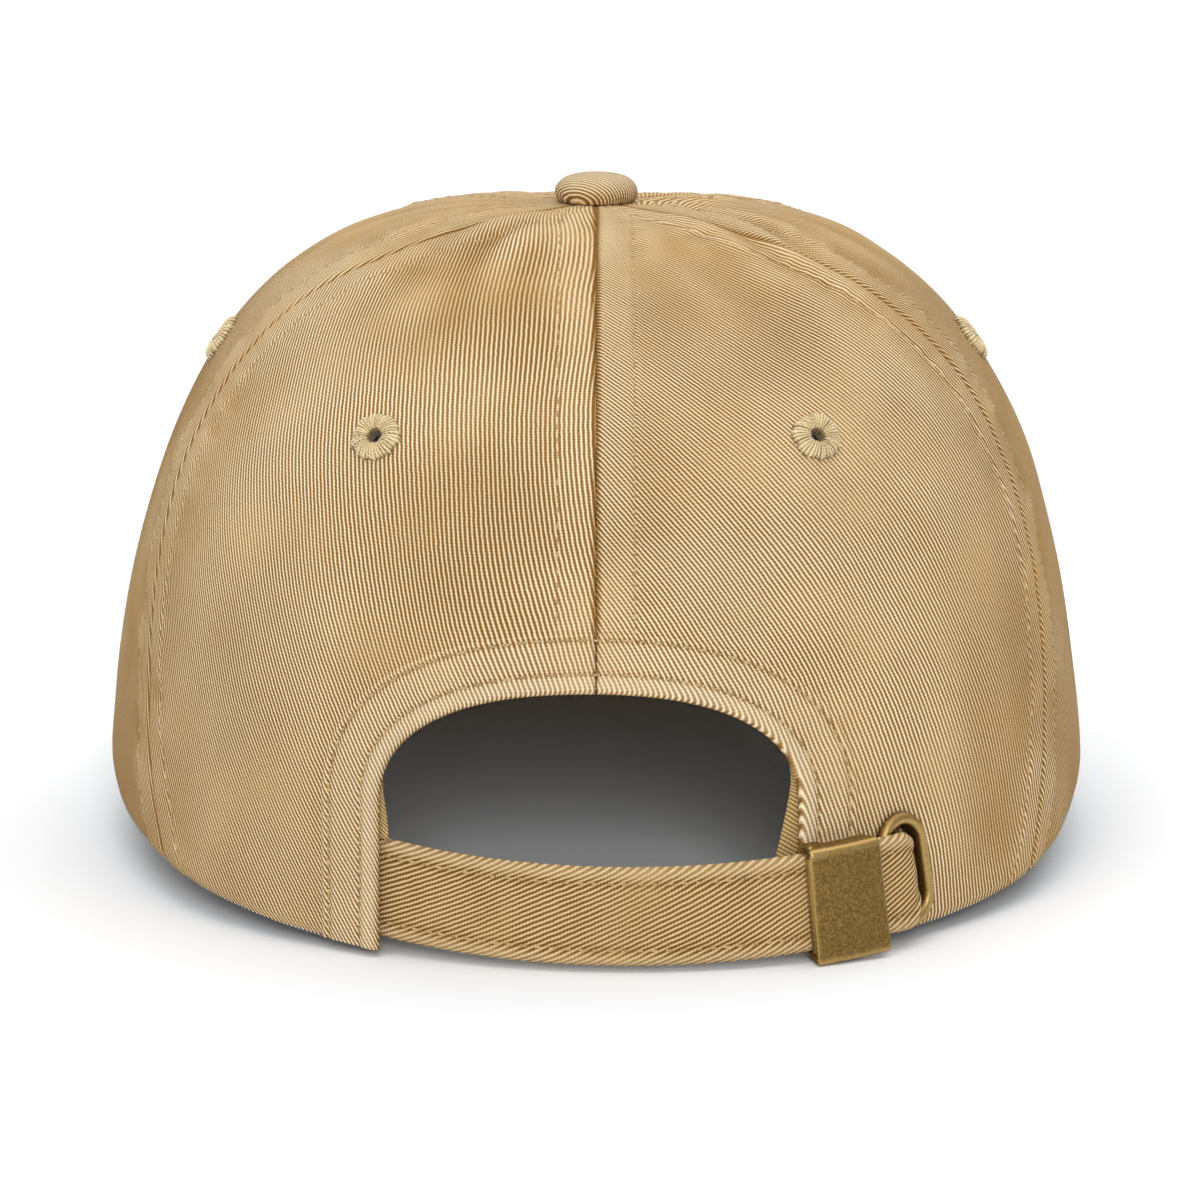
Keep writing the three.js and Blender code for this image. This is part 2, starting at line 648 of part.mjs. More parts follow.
// The folding cover: a plate with a flange past each ear, and a knuckle round the pin.
function buckleLever() {
  const coverStart = PIN_ANGLE - degreesAlong(COVER_LEAD);
  const outline = plateOutline(coverStart, BUCKLE_END, COVER_INNER, COVER_OUTER);
  const plate = acrossStrap(outline, coverFoot, coverTop);
  const flange = plateOutline(coverStart, BUCKLE_END, FLANGE_INNER, COVER_OUTER - 0.1);
  const flanges = [[coverFoot, coverFoot + FLANGE_THICKNESS], [coverTop - FLANGE_THICKNESS, coverTop]]
    .map(([low, high]) => acrossStrap(flange, low, high));
  const [knuckleFoot, knuckleTop] = [STRAP_FOOT + 0.1, STRAP_TOP - 0.1];
  const knuckle = pinBar(KNUCKLE_RADIUS, knuckleFoot, knuckleTop);
  const web = plateOutline(coverStart, PIN_ANGLE + degreesAlong(COVER_LEAD), PIN_OFFSET, COVER_INNER + 0.1);
  const roll = acrossStrap(web, knuckleFoot + WEB_SETBACK, knuckleTop);
  return cut(joined(plate, ...flanges, knuckle, roll), pinBar(PIN_BORE, coverFoot - 1, coverTop + 1));
}

// A stadium about the slot, at a distance out from the slot ring's opening.
function slotOutline(distance) {
  const half = RING_HALF_WIDTH - RING_WIRE + distance;
  const [low, high] = [RING_FOOT + RING_HALF_WIDTH, RING_TOP - RING_HALF_WIDTH];
  const steps = 8;
  const outline = [];
  for (const [centre, start] of [[high, 0], [low, Math.PI]]) {
    for (let k = 0; k <= steps; k++) {
      const angle = start + (Math.PI * k) / steps;
      outline.push([half * Math.cos(angle), centre + half * Math.sin(angle)]);
    }
  }
  return outline;
}

const slotPlace = ([across, height], offset) =>
  closurePoint(RING_ANGLE + degreesAlong(across), WALL_OFFSET + offset, height);

// A ring about the slot from a closed profile of [distance, offset from the panel].
function slotRing(profile) {
  const rings = profile.map(([distance, offset]) => slotOutline(distance).map((p) => slotPlace(p, offset)));
  const loops = rings[0].map((_, k) => rings.map((ring) => ring[k]));
  return loft(loops, true);
}

// The outer ring with the sleeve that lines the slot.
const ringFront = () => slotRing([
  [0.3, RING_RISE - 0.3], [RING_WIRE / 2, RING_RISE], [RING_WIRE - 0.3, RING_RISE - 0.3],
  [RING_WIRE, RING_RISE / 2], [RING_WIRE - 0.2, 0.45], [SLEEVE_THICKNESS, 0.45],
  [SLEEVE_THICKNESS, SLEEVE_END], [0, SLEEVE_END],
]);

// The ring inside the crown, round the sleeve.
function ringWasher() {
  const inner = SLEEVE_THICKNESS + 0.2;
  const [low, high] = WASHER_SPAN;
  return slotRing([[inner, high], [RING_WIRE, high], [RING_WIRE, low], [inner, low]]);
}

function slotTool() {
  const outline = slotOutline(SLEEVE_THICKNESS + GAP);
  const tool = prism(outline, (across, height, end) => slotPlace([across, height], end ? 4 : -4));
  closure.updateMatrixWorld(true);
  return tool.applyMatrix4(closure.matrixWorld);
}

// ---------- The cap, put together ----------

const cap = new THREE.Group();

function add(name, geometry, finish, parent = cap) {
  const mesh = new THREE.Mesh(geometry, finish);
  mesh.name = name;
  parent.add(mesh);
  return mesh;
}

// The rear seam seen once more, a full turn on, where the last panel ends.
const turnOn = (seam) => (t) => seam(t) + 2 * Math.PI;
const arch = archTool(0);
const panels = {
  rear_right: { seams: [seams.rear, seams.rear_right], tools: [arch, slotTool()] },
  side_right: { seams: [seams.rear_right, seams.front_right], tools: [] },
  front_right: { seams: [seams.front_right, seams.front], tools: [] },
  front_left: { seams: [seams.front, seams.front_left], tools: [] },
  side_left: { seams: [seams.front_left, seams.rear_left], tools: [] },
  rear_left: { seams: [seams.rear_left, turnOn(seams.rear)], tools: [arch] },
};

for (const spot of EYELETS) {
  for (const side of ['right', 'left']) {
    const frame = eyeletFrame(spot, side === 'left');
    panels[`${spot.place}_${side}`].tools.push(eyeletTool(frame));
    const mesh = add(`eyelet_${spot.place}_${side}`, eyelet(), thread());
    mesh.position.copy(frame.position);
    mesh.quaternion.copy(frame.turn);
  }
}

for (const [name, { seams: edges, tools }] of Object.entries(panels)) {
  add(`panel_${name}`, cut(panel(...edges), ...tools), twill());
}

const rearTapeFoot = atHeight(rad(REAR_SEAM), ARCH_TOP + FACING_WIDTH + 1);
for (const [name, seam] of Object.entries(seams)) {
  const foot = name === 'rear' ? rearTapeFoot : aboveRim(seam(0), bandFoot(seam(0)) + GAP);
  add(`seam_tape_${name}`, seamTape(seam, foot), tape());
}

add('arch_facing', archFacing(), tape());
add('button_cap', buttonCap(), twill());
add('button_rivet', buttonRivet(), brass());
add('sweatband', sweatband(), twill());
add('care_label', careLabel(), label());

add('visor_cover_top', visorLayer(0, COVER_THICKNESS, 0), twill());
add('visor_board', visorLayer(boardTop, BOARD_THICKNESS, BOARD_SETBACK), board());
add('visor_cover_bottom', visorLayer(underTop, COVER_THICKNESS, 0), twill());

add('strap', strap(), twill(), closure);
add('buckle_loop', buckleLoop(), twill(), closure);
add('buckle_frame', buckleFrame(), brass(), closure);
add('buckle_lever', buckleLever(), brass(), closure);
add('buckle_hinge_pin', pinBar(PIN_RADIUS, coverFoot + 0.05, coverTop + 0.2), brass(), closure);
add('slot_ring', ringFront(), brass(), closure);
add('slot_washer', ringWasher(), brass(), closure);
cap.add(closure);

// Stand the cap on z = 0, with the middle of its box over the origin.
const box = new THREE.Box3().setFromObject(cap);
const middle = box.getCenter(new THREE.Vector3());
cap.position.set(-middle.x, -middle.y, -box.min.z);

export default cap;
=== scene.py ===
"""A washed khaki six-panel cap seen from behind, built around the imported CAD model.

Shapes are worked out in millimetres in the crown's own frame: its vertical axis is x = y = 0
and the lowest point of its rim is z = 0. to_row() moves them to the row frame in metres.
"""
import math

import bpy
import numpy as np
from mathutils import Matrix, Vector


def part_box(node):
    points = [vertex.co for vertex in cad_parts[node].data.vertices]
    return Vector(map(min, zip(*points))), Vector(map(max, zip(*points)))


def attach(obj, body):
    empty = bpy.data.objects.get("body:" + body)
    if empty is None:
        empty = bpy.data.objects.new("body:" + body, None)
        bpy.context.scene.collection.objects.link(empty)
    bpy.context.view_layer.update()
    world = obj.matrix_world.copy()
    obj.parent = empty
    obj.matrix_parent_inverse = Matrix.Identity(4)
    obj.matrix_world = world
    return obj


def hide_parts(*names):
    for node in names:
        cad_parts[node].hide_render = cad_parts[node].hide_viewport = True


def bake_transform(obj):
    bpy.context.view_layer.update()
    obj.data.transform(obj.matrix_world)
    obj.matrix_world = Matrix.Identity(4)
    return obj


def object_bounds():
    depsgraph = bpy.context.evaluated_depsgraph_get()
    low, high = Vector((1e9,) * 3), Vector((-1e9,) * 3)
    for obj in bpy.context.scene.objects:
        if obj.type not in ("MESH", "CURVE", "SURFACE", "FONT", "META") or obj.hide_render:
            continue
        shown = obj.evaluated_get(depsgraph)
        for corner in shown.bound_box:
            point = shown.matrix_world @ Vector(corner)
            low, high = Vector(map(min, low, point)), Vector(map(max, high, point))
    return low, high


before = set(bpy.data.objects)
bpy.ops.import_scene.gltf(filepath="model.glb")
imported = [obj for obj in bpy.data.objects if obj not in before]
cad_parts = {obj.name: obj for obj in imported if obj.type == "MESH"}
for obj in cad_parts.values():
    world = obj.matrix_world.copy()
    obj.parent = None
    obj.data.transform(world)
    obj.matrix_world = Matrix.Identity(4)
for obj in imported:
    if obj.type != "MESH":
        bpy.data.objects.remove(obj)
CAD_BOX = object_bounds()

MM = 0.001

# ---------- Driving dimensions, the CAD model's own ----------

HALF_WIDTH = 88.0
REACH_BACK = 99.8
REACH_FRONT = 99.0
SQUARENESS = 2.13
HEIGHT = 114.2
RIM_TILT = math.radians(8.76)
RIM_SAG = 2.0  # the worn rim hangs lower behind the right ear
BUTTON_DIP = 0.8  # the button pulls the cloth down
APEX_TOP = 0.975
GAP = 0.3
CLOTH = 1.0  # panel thickness

WALL_FLARE = (-0.078, -0.05, 0.0)  # at the side, back and front
WALL_RISE = (0.97, 0.72, 0.62)
TOP_REACH = (0.454, 0.58, 0.52)
TOP_LIFT = 1.1

REAR_SIDE_SEAM = (-37, -2, -41, -51)
FRONT_SIDE_SEAM = (30, 26, 38, 40)

ARCH_X = -1.2
ARCH_HALF = 35.0
ARCH_SPRING = 25.0
ARCH_TOP = 44.7
ARCH_SQUARENESS = 2.3

VISOR_TOP = 30.6
VISOR_DROOP = 0.2355
VISOR_CORNER = math.radians(31)
VISOR_MARGIN = 5.5
VISOR_SIDE = ((81.5, 46.5), (100, 95), (82, 169), (0, 169))
VISOR_THICKNESS = 4.0

BUTTON_RADIUS = 7.4
BUTTON_HEIGHT = 5.0

HEM_WIDTH = 9.8
HEM_STITCHES = (2.9, 8.3)  # from the arch's edge
TOPSTITCH = 6.4  # each side of a seam
THREAD_RADIUS = 0.22

EYELET_PLACES = {"rear": (-60.7, 82.3), "side": (-3, 89.5), "front": (62, 86)}  # azimuth, height
EYELET_OUTER = 4.4
EYELET_INNER = 1.12
EYELET_DOME = 1.3
EYELET_THREADS = 38
WALL_RADIUS = 85.0  # the wall's curve under an eyelet

BAND_HEIGHT = 33.0
BAND_THICKNESS = 1.2
BAND_DEPTH = 2.6  # under the crown's outer face
BAND_DEPTH_AT_CLOSURE = 5.6
TAPE_DEPTH = 1.45
TAPE_HALF_WIDTH = 4.4

CONE_CENTRE = (5.693, -24.053)
CONE_RADIUS = 78.32
CONE_SLOPE = 0.228
WALL_OFFSET = -2.4
STRAP_FOOT = 1.1
STRAP_TOP = 17.1
STRAP_THICKNESS = 1.4
STRAP_STITCH = 2.6  # from either edge

SHEET = 0.5  # the buckle's brass
CLEARANCE = 0.25
EAR_FOOT = STRAP_FOOT - 0.2 - SHEET
EAR_TOP = STRAP_TOP + 0.2 + SHEET
COVER_FOOT = EAR_FOOT - CLEARANCE - SHEET
COVER_TOP = EAR_TOP + CLEARANCE + SHEET
PIN_ANGLE = -67.2
PIN_OFFSET = 1.8
BUCKLE_END = -58.0

RING_ANGLE = -52.0
RING_HALF = 5.5
RING_FOOT = 0.4
RING_TOP = 19.4
RING_WIRE = 2.0

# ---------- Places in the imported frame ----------

button_low, button_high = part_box("button_cap")
SHIFT = np.array([
    (button_low.x + button_high.x) / 2 / MM,
    (button_low.y + button_high.y) / 2 / MM,
    button_low.z / MM - HEIGHT - GAP,
])


def to_row(points):
    """Crown frame in millimetres to row frame in metres."""
    return (np.asarray(points, float) + SHIFT) * MM


# ---------- Small numeric helpers ----------


def smoothstep(x, low, high):
    t = np.clip((np.asarray(x, float) - low) / (high - low), 0, 1)
    return t * t * (3 - 2 * t)


def hump(x, centre, width):
    return np.exp(-(((x - centre) / width) ** 2))


def lattice(ix, iy, iz, seed):
    """A repeatable random number from -1 to 1 for each whole-number cell corner."""
    mixed = np.sin(ix * 127.1 + iy * 311.7 + iz * 74.7 + seed * 53.3) * 43758.5453
    return 2 * (mixed - np.floor(mixed)) - 1


def noise(x, y, z=0.0, seed=0):
    """Smooth value noise from -1 to 1."""
    x, y, z = np.broadcast_arrays(np.asarray(x, float), np.asarray(y, float), np.asarray(z, float))
    cell = [np.floor(a) for a in (x, y, z)]
    part = [smoothstep(a - c, 0, 1) for a, c in zip((x, y, z), cell)]
    total = np.zeros(x.shape)
    for corner in np.ndindex(2, 2, 2):
        weight = 1.0
        for axis in range(3):
            weight = weight * (part[axis] if corner[axis] else 1 - part[axis])
        total += weight * lattice(cell[0] + corner[0], cell[1] + corner[1], cell[2] + corner[2], seed)
    return total


def unit(vectors):
    return vectors / np.linalg.norm(vectors, axis=-1, keepdims=True)


def circle_edge(distance, reach):
    """How much of a sheet's half thickness a round edge takes off, from 1 at the edge to 0."""
    near = 1 - np.clip(distance / reach, 0, 1)
    return 1 - np.sqrt(np.maximum(1 - near**2, 0))


def shares(columns, rows):
    """Shares from 0 to 1 up a grid's rows and along its columns, that broadcast together."""
    return np.linspace(0, 1, rows + 1)[:, None], np.linspace(0, 1, columns + 1)[None, :]


def cubic(t, a, b, c, d):
    return (1 - t) ** 3 * a + 3 * t * (1 - t) ** 2 * b + 3 * t * t * (1 - t) * c + t**3 * d


# ---------- The crown's surface ----------


def around(azimuth, values):
    side, back, front = values
    end = np.where(np.sin(azimuth) < 0, back, front)
    return side + (end - side) * np.sin(azimuth) ** 2


def crown_radius(azimuth):
    reach = np.where(np.sin(azimuth) < 0, REACH_BACK, REACH_FRONT)
    across = np.abs(np.cos(azimuth) / HALF_WIDTH) ** SQUARENESS
    along = np.abs(np.sin(azimuth) / reach) ** SQUARENESS
    return (across + along) ** (-1 / SQUARENESS)


def rim_plane(y):
    return math.tan(RIM_TILT) * (y + REACH_BACK)


CORNER_X = float(crown_radius(VISOR_CORNER)) * math.cos(VISOR_CORNER)
CORNER_Y = float(crown_radius(VISOR_CORNER)) * math.sin(VISOR_CORNER)
CORNER_DROP = VISOR_TOP + GAP + VISOR_DROOP * (REACH_FRONT - CORNER_Y) - rim_plane(CORNER_Y)
VISOR_TROUGH = CORNER_DROP / CORNER_X**2


def visor_top(x, y):
    return VISOR_TOP - VISOR_TROUGH * x**2 - VISOR_DROOP * (y - REACH_FRONT)


def rim_height(azimuth, x, y):
    over_visor = np.sin(azimuth) > math.sin(VISOR_CORNER - math.radians(1))
    sag = RIM_SAG * hump(np.arctan2(y, x), math.radians(-36), math.radians(22))
    return np.where(over_visor, visor_top(x, y) + GAP, rim_plane(y) - sag)


def crown_point(azimuth, t):
    """A point of the crown's outer face; t runs from 0 at the rim to 1 at the apex."""
    azimuth, t = np.broadcast_arrays(np.asarray(azimuth, float), np.asarray(t, float))
    r = crown_radius(azimuth)
    foot = rim_height(azimuth, r * np.cos(azimuth), r * np.sin(azimuth))
    shoulder = foot + (HEIGHT - foot) * around(azimuth, WALL_RISE)
    flare = 1 + around(azimuth, WALL_FLARE)
    radius = cubic(t, r, r * flare, r * around(azimuth, TOP_REACH), 0)
    height = cubic(t, foot, shoulder, HEIGHT + TOP_LIFT, HEIGHT)
    height = height - BUTTON_DIP * (1 - smoothstep(radius, 6, 32))
    return np.stack([radius * np.cos(azimuth), radius * np.sin(azimuth), height], -1)


def crown_normal(azimuth, t):
    step = 1e-3
    t = np.minimum(t, 1 - 2 * step)
    across = crown_point(azimuth + step, t) - crown_point(azimuth - step, t)
    up = crown_point(azimuth, t + step) - crown_point(azimuth, np.maximum(t - step, 0))
    return unit(np.cross(across, up))


def crown_search(azimuth, value, measure):
    """The t at which measure(point) reaches a value, where measure grows with t."""
    azimuth, value = np.broadcast_arrays(np.asarray(azimuth, float), np.asarray(value, float))
    low, high = np.zeros(azimuth.shape), np.ones(azimuth.shape)
    for _ in range(30):
        middle = (low + high) / 2
        below = measure(crown_point(azimuth, middle)) < value
        low = np.where(below, middle, low)
        high = np.where(below, high, middle)
    return (low + high) / 2


def at_height(azimuth, height):
    return crown_search(azimuth, height, lambda p: p[..., 2])


def above_rim(azimuth, height):
    return at_height(azimuth, crown_point(azimuth, 0)[..., 2] + height)


def meridian_length(azimuth, t):
    """Distance up the wall from the rim."""
    steps = 24
    total = np.zeros(np.broadcast(azimuth, t).shape)
    last = crown_point(azimuth, 0 * t)
    for k in range(1, steps + 1):
        here = crown_point(azimuth, t * k / steps)
        total += np.linalg.norm(here - last, axis=-1)
        last = here
    return total


def radius_at(azimuth, t):
    point = crown_point(azimuth, t)
    return np.hypot(point[..., 0], point[..., 1])


# ---------- Seams ----------


def right_seam(handles):
    return lambda t: np.radians(cubic(t, *handles))


def left_seam(handles):
    return lambda t: np.radians(180 - cubic(t, *handles))


SEAMS = {
    "rear": lambda t: np.radians(-90) + 0 * t,
    "rear_right": right_seam(REAR_SIDE_SEAM),
    "front_right": right_seam(FRONT_SIDE_SEAM),
    "front": lambda t: np.radians(90) + 0 * t,
    "front_left": left_seam(FRONT_SIDE_SEAM),
    "rear_left": left_seam(REAR_SIDE_SEAM),
}


def half_turn(angle):
    """The same angle between -pi and pi."""
    return np.mod(angle + np.pi, 2 * np.pi) - np.pi


def seam_reach(seam, azimuth, t):
    """Millimetres square to a seam for each radian of azimuth."""
    radius = radius_at(azimuth, t)
    step = 1e-3
    sideways = radius * (seam(t + step) - seam(t)) / step
    upwards = np.linalg.norm(crown_point(azimuth, t + step) - crown_point(azimuth, t), axis=-1) / step
    return radius / np.hypot(1, sideways / upwards)


def seam_distance(seam, azimuth, t):
    """Signed distance from a seam, in millimetres, growing with azimuth."""
    return half_turn(azimuth - seam(t)) * seam_reach(seam, azimuth, t)


def arch_distance(x, z):
    """Distance from the arch's edge, positive in the cloth, as seen along Y."""
    across = np.abs(x - ARCH_X) / ARCH_HALF
    rise = ARCH_TOP - ARCH_SPRING
    up = np.maximum(z - ARCH_SPRING, 0) / rise
    n = ARCH_SQUARENESS
    level = np.maximum((across**n + up**n) ** (1 / n), 1e-6)
    slope = level ** (1 - n) * np.hypot(across ** (n - 1) / ARCH_HALF, up ** (n - 1) / rise)
    return (level - 1) / np.maximum(slope, 1e-6)


# ---------- Relief of the sewn cloth ----------


def seam_profile(distance):
    """Two plies pressed open under a double row of stitches, with a groove between."""
    d = np.abs(distance)
    plateau = 0.34 * (1 - smoothstep(d, TOPSTITCH - 0.2, TOPSTITCH + 1.6))
    groove = -0.6 * hump(d, 0, 0.6)
    dent = -0.3 * hump(d, TOPSTITCH, 0.5)
    return plateau + groove + dent


def hem_profile(distance):
    """How far the arch's hem stands off the panel: a rolled edge, then a stitched band."""
    roll = 0.3 * (1 - smoothstep(distance, 2.3, 3.5))
    band = 0.32 * (1 - smoothstep(distance, 8.9, HEM_WIDTH))
    dents = sum(-0.34 * hump(distance, row, 0.45) for row in HEM_STITCHES)
    return roll + band + dents


def puckers(along, distance, seed):
    """Small washed-in ripples that cross a row of stitches."""
    reach = hump(np.abs(distance), TOPSTITCH, 4.5)
    ripple = noise(along / 3.1, distance / 7 + along / 40, seed=seed)
    ripple += 0.6 * noise(along / 1.7, distance / 5, seed=seed + 7)
    return reach * ripple


def relief(azimuth, t):
    """How far the cloth stands out from the crown's smooth face, in millimetres."""
    azimuth, t = np.broadcast_arrays(np.asarray(azimuth, float), np.asarray(t, float))
    point = crown_point(azimuth, t)
    x, y, z = point[..., 0], point[..., 1], point[..., 2]
    along = t * 150
    total = np.zeros(x.shape)
    for seed, seam in enumerate(SEAMS.values()):
        d = seam_distance(seam, azimuth, t)
        fade = smoothstep(radius_at(azimuth, t), 6, 22)
        depth = 1.0 if seed == 0 else 0.75
        total += depth * seam_profile(d) * (0.35 + 0.65 * fade)
        side = 1.0 if seed in (1, 5) else 0.5
        total += 0.27 * side * fade * puckers(along, d, seed * 11)
    edge = np.where(y < 0, np.maximum(arch_distance(x, z), 0), 99)
    turn = np.arctan2(z - ARCH_SPRING, x - ARCH_X) * ARCH_HALF
    total += 0.17 * puckers(turn, edge, 91)
    broad = noise(x / 24, y / 24, z / 34, seed=3) + 0.5 * noise(x / 11, y / 11, z / 17, seed=4)
    total += 0.55 * broad * smoothstep(radius_at(azimuth, t), 12, 40)
    fan = np.sin(azimuth * 23 + 2 * noise(x / 20, y / 20, seed=5)) * noise(x / 16, y / 16, seed=6)
    total += 0.6 * fan * hump(radius_at(azimuth, t), 34, 20)
    foot = z - rim_height(azimuth, x, y)
    total += -0.1 * (1 - smoothstep(foot, 0, 1.4))
    return total


def cloth_point(azimuth, t, lift=0.0):
    """A point on the sewn cloth's outer face, lifted off it by some millimetres."""
    stand = relief(azimuth, t) + lift
    return crown_point(azimuth, t) + crown_normal(azimuth, t) * stand[..., None]


# ---------- Meshes ----------


def add_mesh(name, points, faces, material, uv=None, shade=None, calm=None, lined=None):
    """A mesh object from crown-frame points. uv is in millimetres of cloth, and shade is
    a number for each point, from -1 darker to 1 paler: wear, and in places painted shade and painted highlight."""
    mesh = bpy.data.meshes.new(name)
    mesh.from_pydata(to_row(points).tolist(), [], faces)
    mesh.validate()
    mesh.polygons.foreach_set("use_smooth", [True] * len(mesh.polygons))
    corners = np.zeros(len(mesh.loops), int)
    mesh.loops.foreach_get("vertex_index", corners)
    if uv is not None:
        layer = mesh.uv_layers.new(name="cloth")
        layer.data.foreach_set("uv", np.asarray(uv, float)[corners].ravel())
    for label, numbers in (("shade", shade), ("calm", calm), ("lined", lined)):
        if numbers is not None:
            attribute = mesh.attributes.new(label, "FLOAT", "POINT")
            attribute.data.foreach_set("value", np.asarray(numbers, np.float32))
    mesh.update()
    piece = bpy.data.objects.new(name, mesh)
    bpy.context.scene.collection.objects.link(piece)
    mesh.materials.append(material)
    return piece


def grid_faces(columns, rows, start=0, flip=False, loop_columns=False):
    """Four-sided faces between rows of points that are numbered from start."""
    faces = []
    span = columns if loop_columns else columns + 1
    for j in range(rows):
        for i in range(columns):
            a = start + j * span + i
            b = start + j * span + (i + 1) % span
            quad = (a, b, b + span, a + span)
            faces.append(quad[::-1] if flip else quad)
    return faces


def close_slab(outer_faces, count):
    """Adds an inner copy of the outer faces, count points further on, and the edge strip."""
    faces = list(outer_faces)
    faces += [tuple(count + v for v in reversed(face)) for face in outer_faces]
    edges = {}
    for face in outer_faces:
        for a, b in zip(face, face[1:] + face[:1]):
            edges[(a, b)] = edges.get((a, b), 0) + 1
    for a, b in edges:
        if (b, a) not in edges:
            faces.append((b, a, count + a, count + b))
    return faces


def compact(points, faces, *values):
    """Drops the points that no face uses."""
    used = sorted({v for face in faces for v in face})
    where = {old: new for new, old in enumerate(used)}
    faces = [tuple(where[v] for v in face) for face in faces]
    return [points[used], faces] + [value[used] for value in values]


def wale_uv(across, up, angle):
    """Cloth coordinates turned so that u crosses the twill's wales and v runs along them."""
    c, s = math.cos(angle), math.sin(angle)
    return np.stack([across * c + up * s, -across * s + up * c], -1)


def sweep(sections, closed=False):
    """Faces for a row of equal closed loops, with fans over the two ends."""
    count, size = len(sections), len(sections[0])
    faces = []
    for s in range(count if closed else count - 1):
        after = (s + 1) % count
        for k in range(size):
            l = (k + 1) % size
            faces.append((s * size + k, s * size + l, after * size + l, after * size + k))
    if not closed:
        faces.append(tuple(reversed(range(size))))
        faces.append(tuple((count - 1) * size + k for k in range(size)))
    return faces


def add_slab(name, outer, inner, faces, material, uv, shade, back=1.0, **tones):
    """A sheet from its outer and inner points. back is the inner face's share of the shade."""
    return add_mesh(
        name, np.vstack([outer, inner]), close_slab(faces, len(outer)), material,
        None if uv is None else np.vstack([uv, uv]), np.hstack([shade, back * shade]), **tones,
    )


def interleave(lines):
    """Joins equal lines of values so that the values of each section lie together."""
    joined = np.stack(lines, 1)
    return joined.reshape(-1, *joined.shape[2:])


def loft(name, lines, material, uv, shade, closed=False, flip=True):
    """A solid through equal lines of points, one line for each corner of its section."""
    faces = sweep([range(len(lines))] * len(lines[0]), closed)
    if flip:
        faces = [face[::-1] for face in faces]
    return add_mesh(name, interleave(lines), faces, material, uv and interleave(uv), interleave(shade))


# ---------- Materials ----------


class Nodes:
    """A short way to build a node material."""

    def __init__(self, name):
        self.material = bpy.data.materials.new(name)
        self.material.use_nodes = True
        self.tree = self.material.node_tree
        self.shader = self.tree.nodes["Principled BSDF"]

    def add(self, kind, **settings):
        node = self.tree.nodes.new("ShaderNode" + kind)
        for key, value in settings.items():
            setattr(node, key, value)
        return node

    def link(self, source, target):
        self.tree.links.new(source, target)

    def value(self, target, source):
        """Puts a number or another node's output into an input."""
        if hasattr(source, "is_output") or isinstance(source, bpy.types.NodeSocket):
            self.link(source, target)
        else:
            target.default_value = source

    def math(self, operation, a, b=0.0, c=0.0):
        node = self.add("Math", operation=operation)
        for target, source in zip(node.inputs, (a, b, c)):
            self.value(target, source)
        return node.outputs[0]

    def noise(self, vector, scale, detail=2.0, roughness=0.5):
        node = self.add("TexNoise")
        self.link(vector, node.inputs["Vector"])
        node.inputs["Scale"].default_value = scale
        node.inputs["Detail"].default_value = detail
        node.inputs["Roughness"].default_value = roughness
        return node.outputs["Fac"]

    def ramp(self, factor, stops):
        node = self.add("ValToRGB")
        self.link(factor, node.inputs[0])
        elements = node.color_ramp.elements
        while len(elements) < len(stops):
            elements.new(0.5)
        for element, (place, color) in zip(elements, stops):
            element.position = place
            element.color = color
        return node.outputs[0]

    def mix(self, factor, a, b, blend="MIX"):
        node = self.add("Mix", data_type="RGBA", blend_type=blend)
        self.value(node.inputs["Factor"], factor)
        self.value(node.inputs[6], a)
        self.value(node.inputs[7], b)
        return node.outputs[2]

    def object_place(self):
        return self.add("TexCoord").outputs["Object"]

    def attribute(self, name):
        return self.add("Attribute", attribute_name=name).outputs["Fac"]

    def surface(self, color, height, relief, roughness, **numbers):
        """Sets the shader. relief is the height's full depth in metres."""
        inputs = self.shader.inputs
        self.value(inputs["Base Color"], color)
        self.value(inputs["Roughness"], roughness)
        for name, number in numbers.items():
            inputs[name.replace("_", " ")].default_value = number
        bump = self.add("Bump")
        bump.inputs["Strength"].default_value = 1.0
        bump.inputs["Distance"].default_value = relief
        self.link(height, bump.inputs["Height"])
        self.link(bump.outputs[0], inputs["Normal"])
        return self.material


def srgb(r, g, b):
    """An sRGB colour from 0 to 255 as a linear node colour."""
    linear = [((c / 255 + 0.055) / 1.055) ** 2.4 if c > 10 else c / 255 / 12.92 for c in (r, g, b)]
    return (*linear, 1.0)


FLOAT_LENGTH = 0.62  # millimetres of yarn that shows along a wale


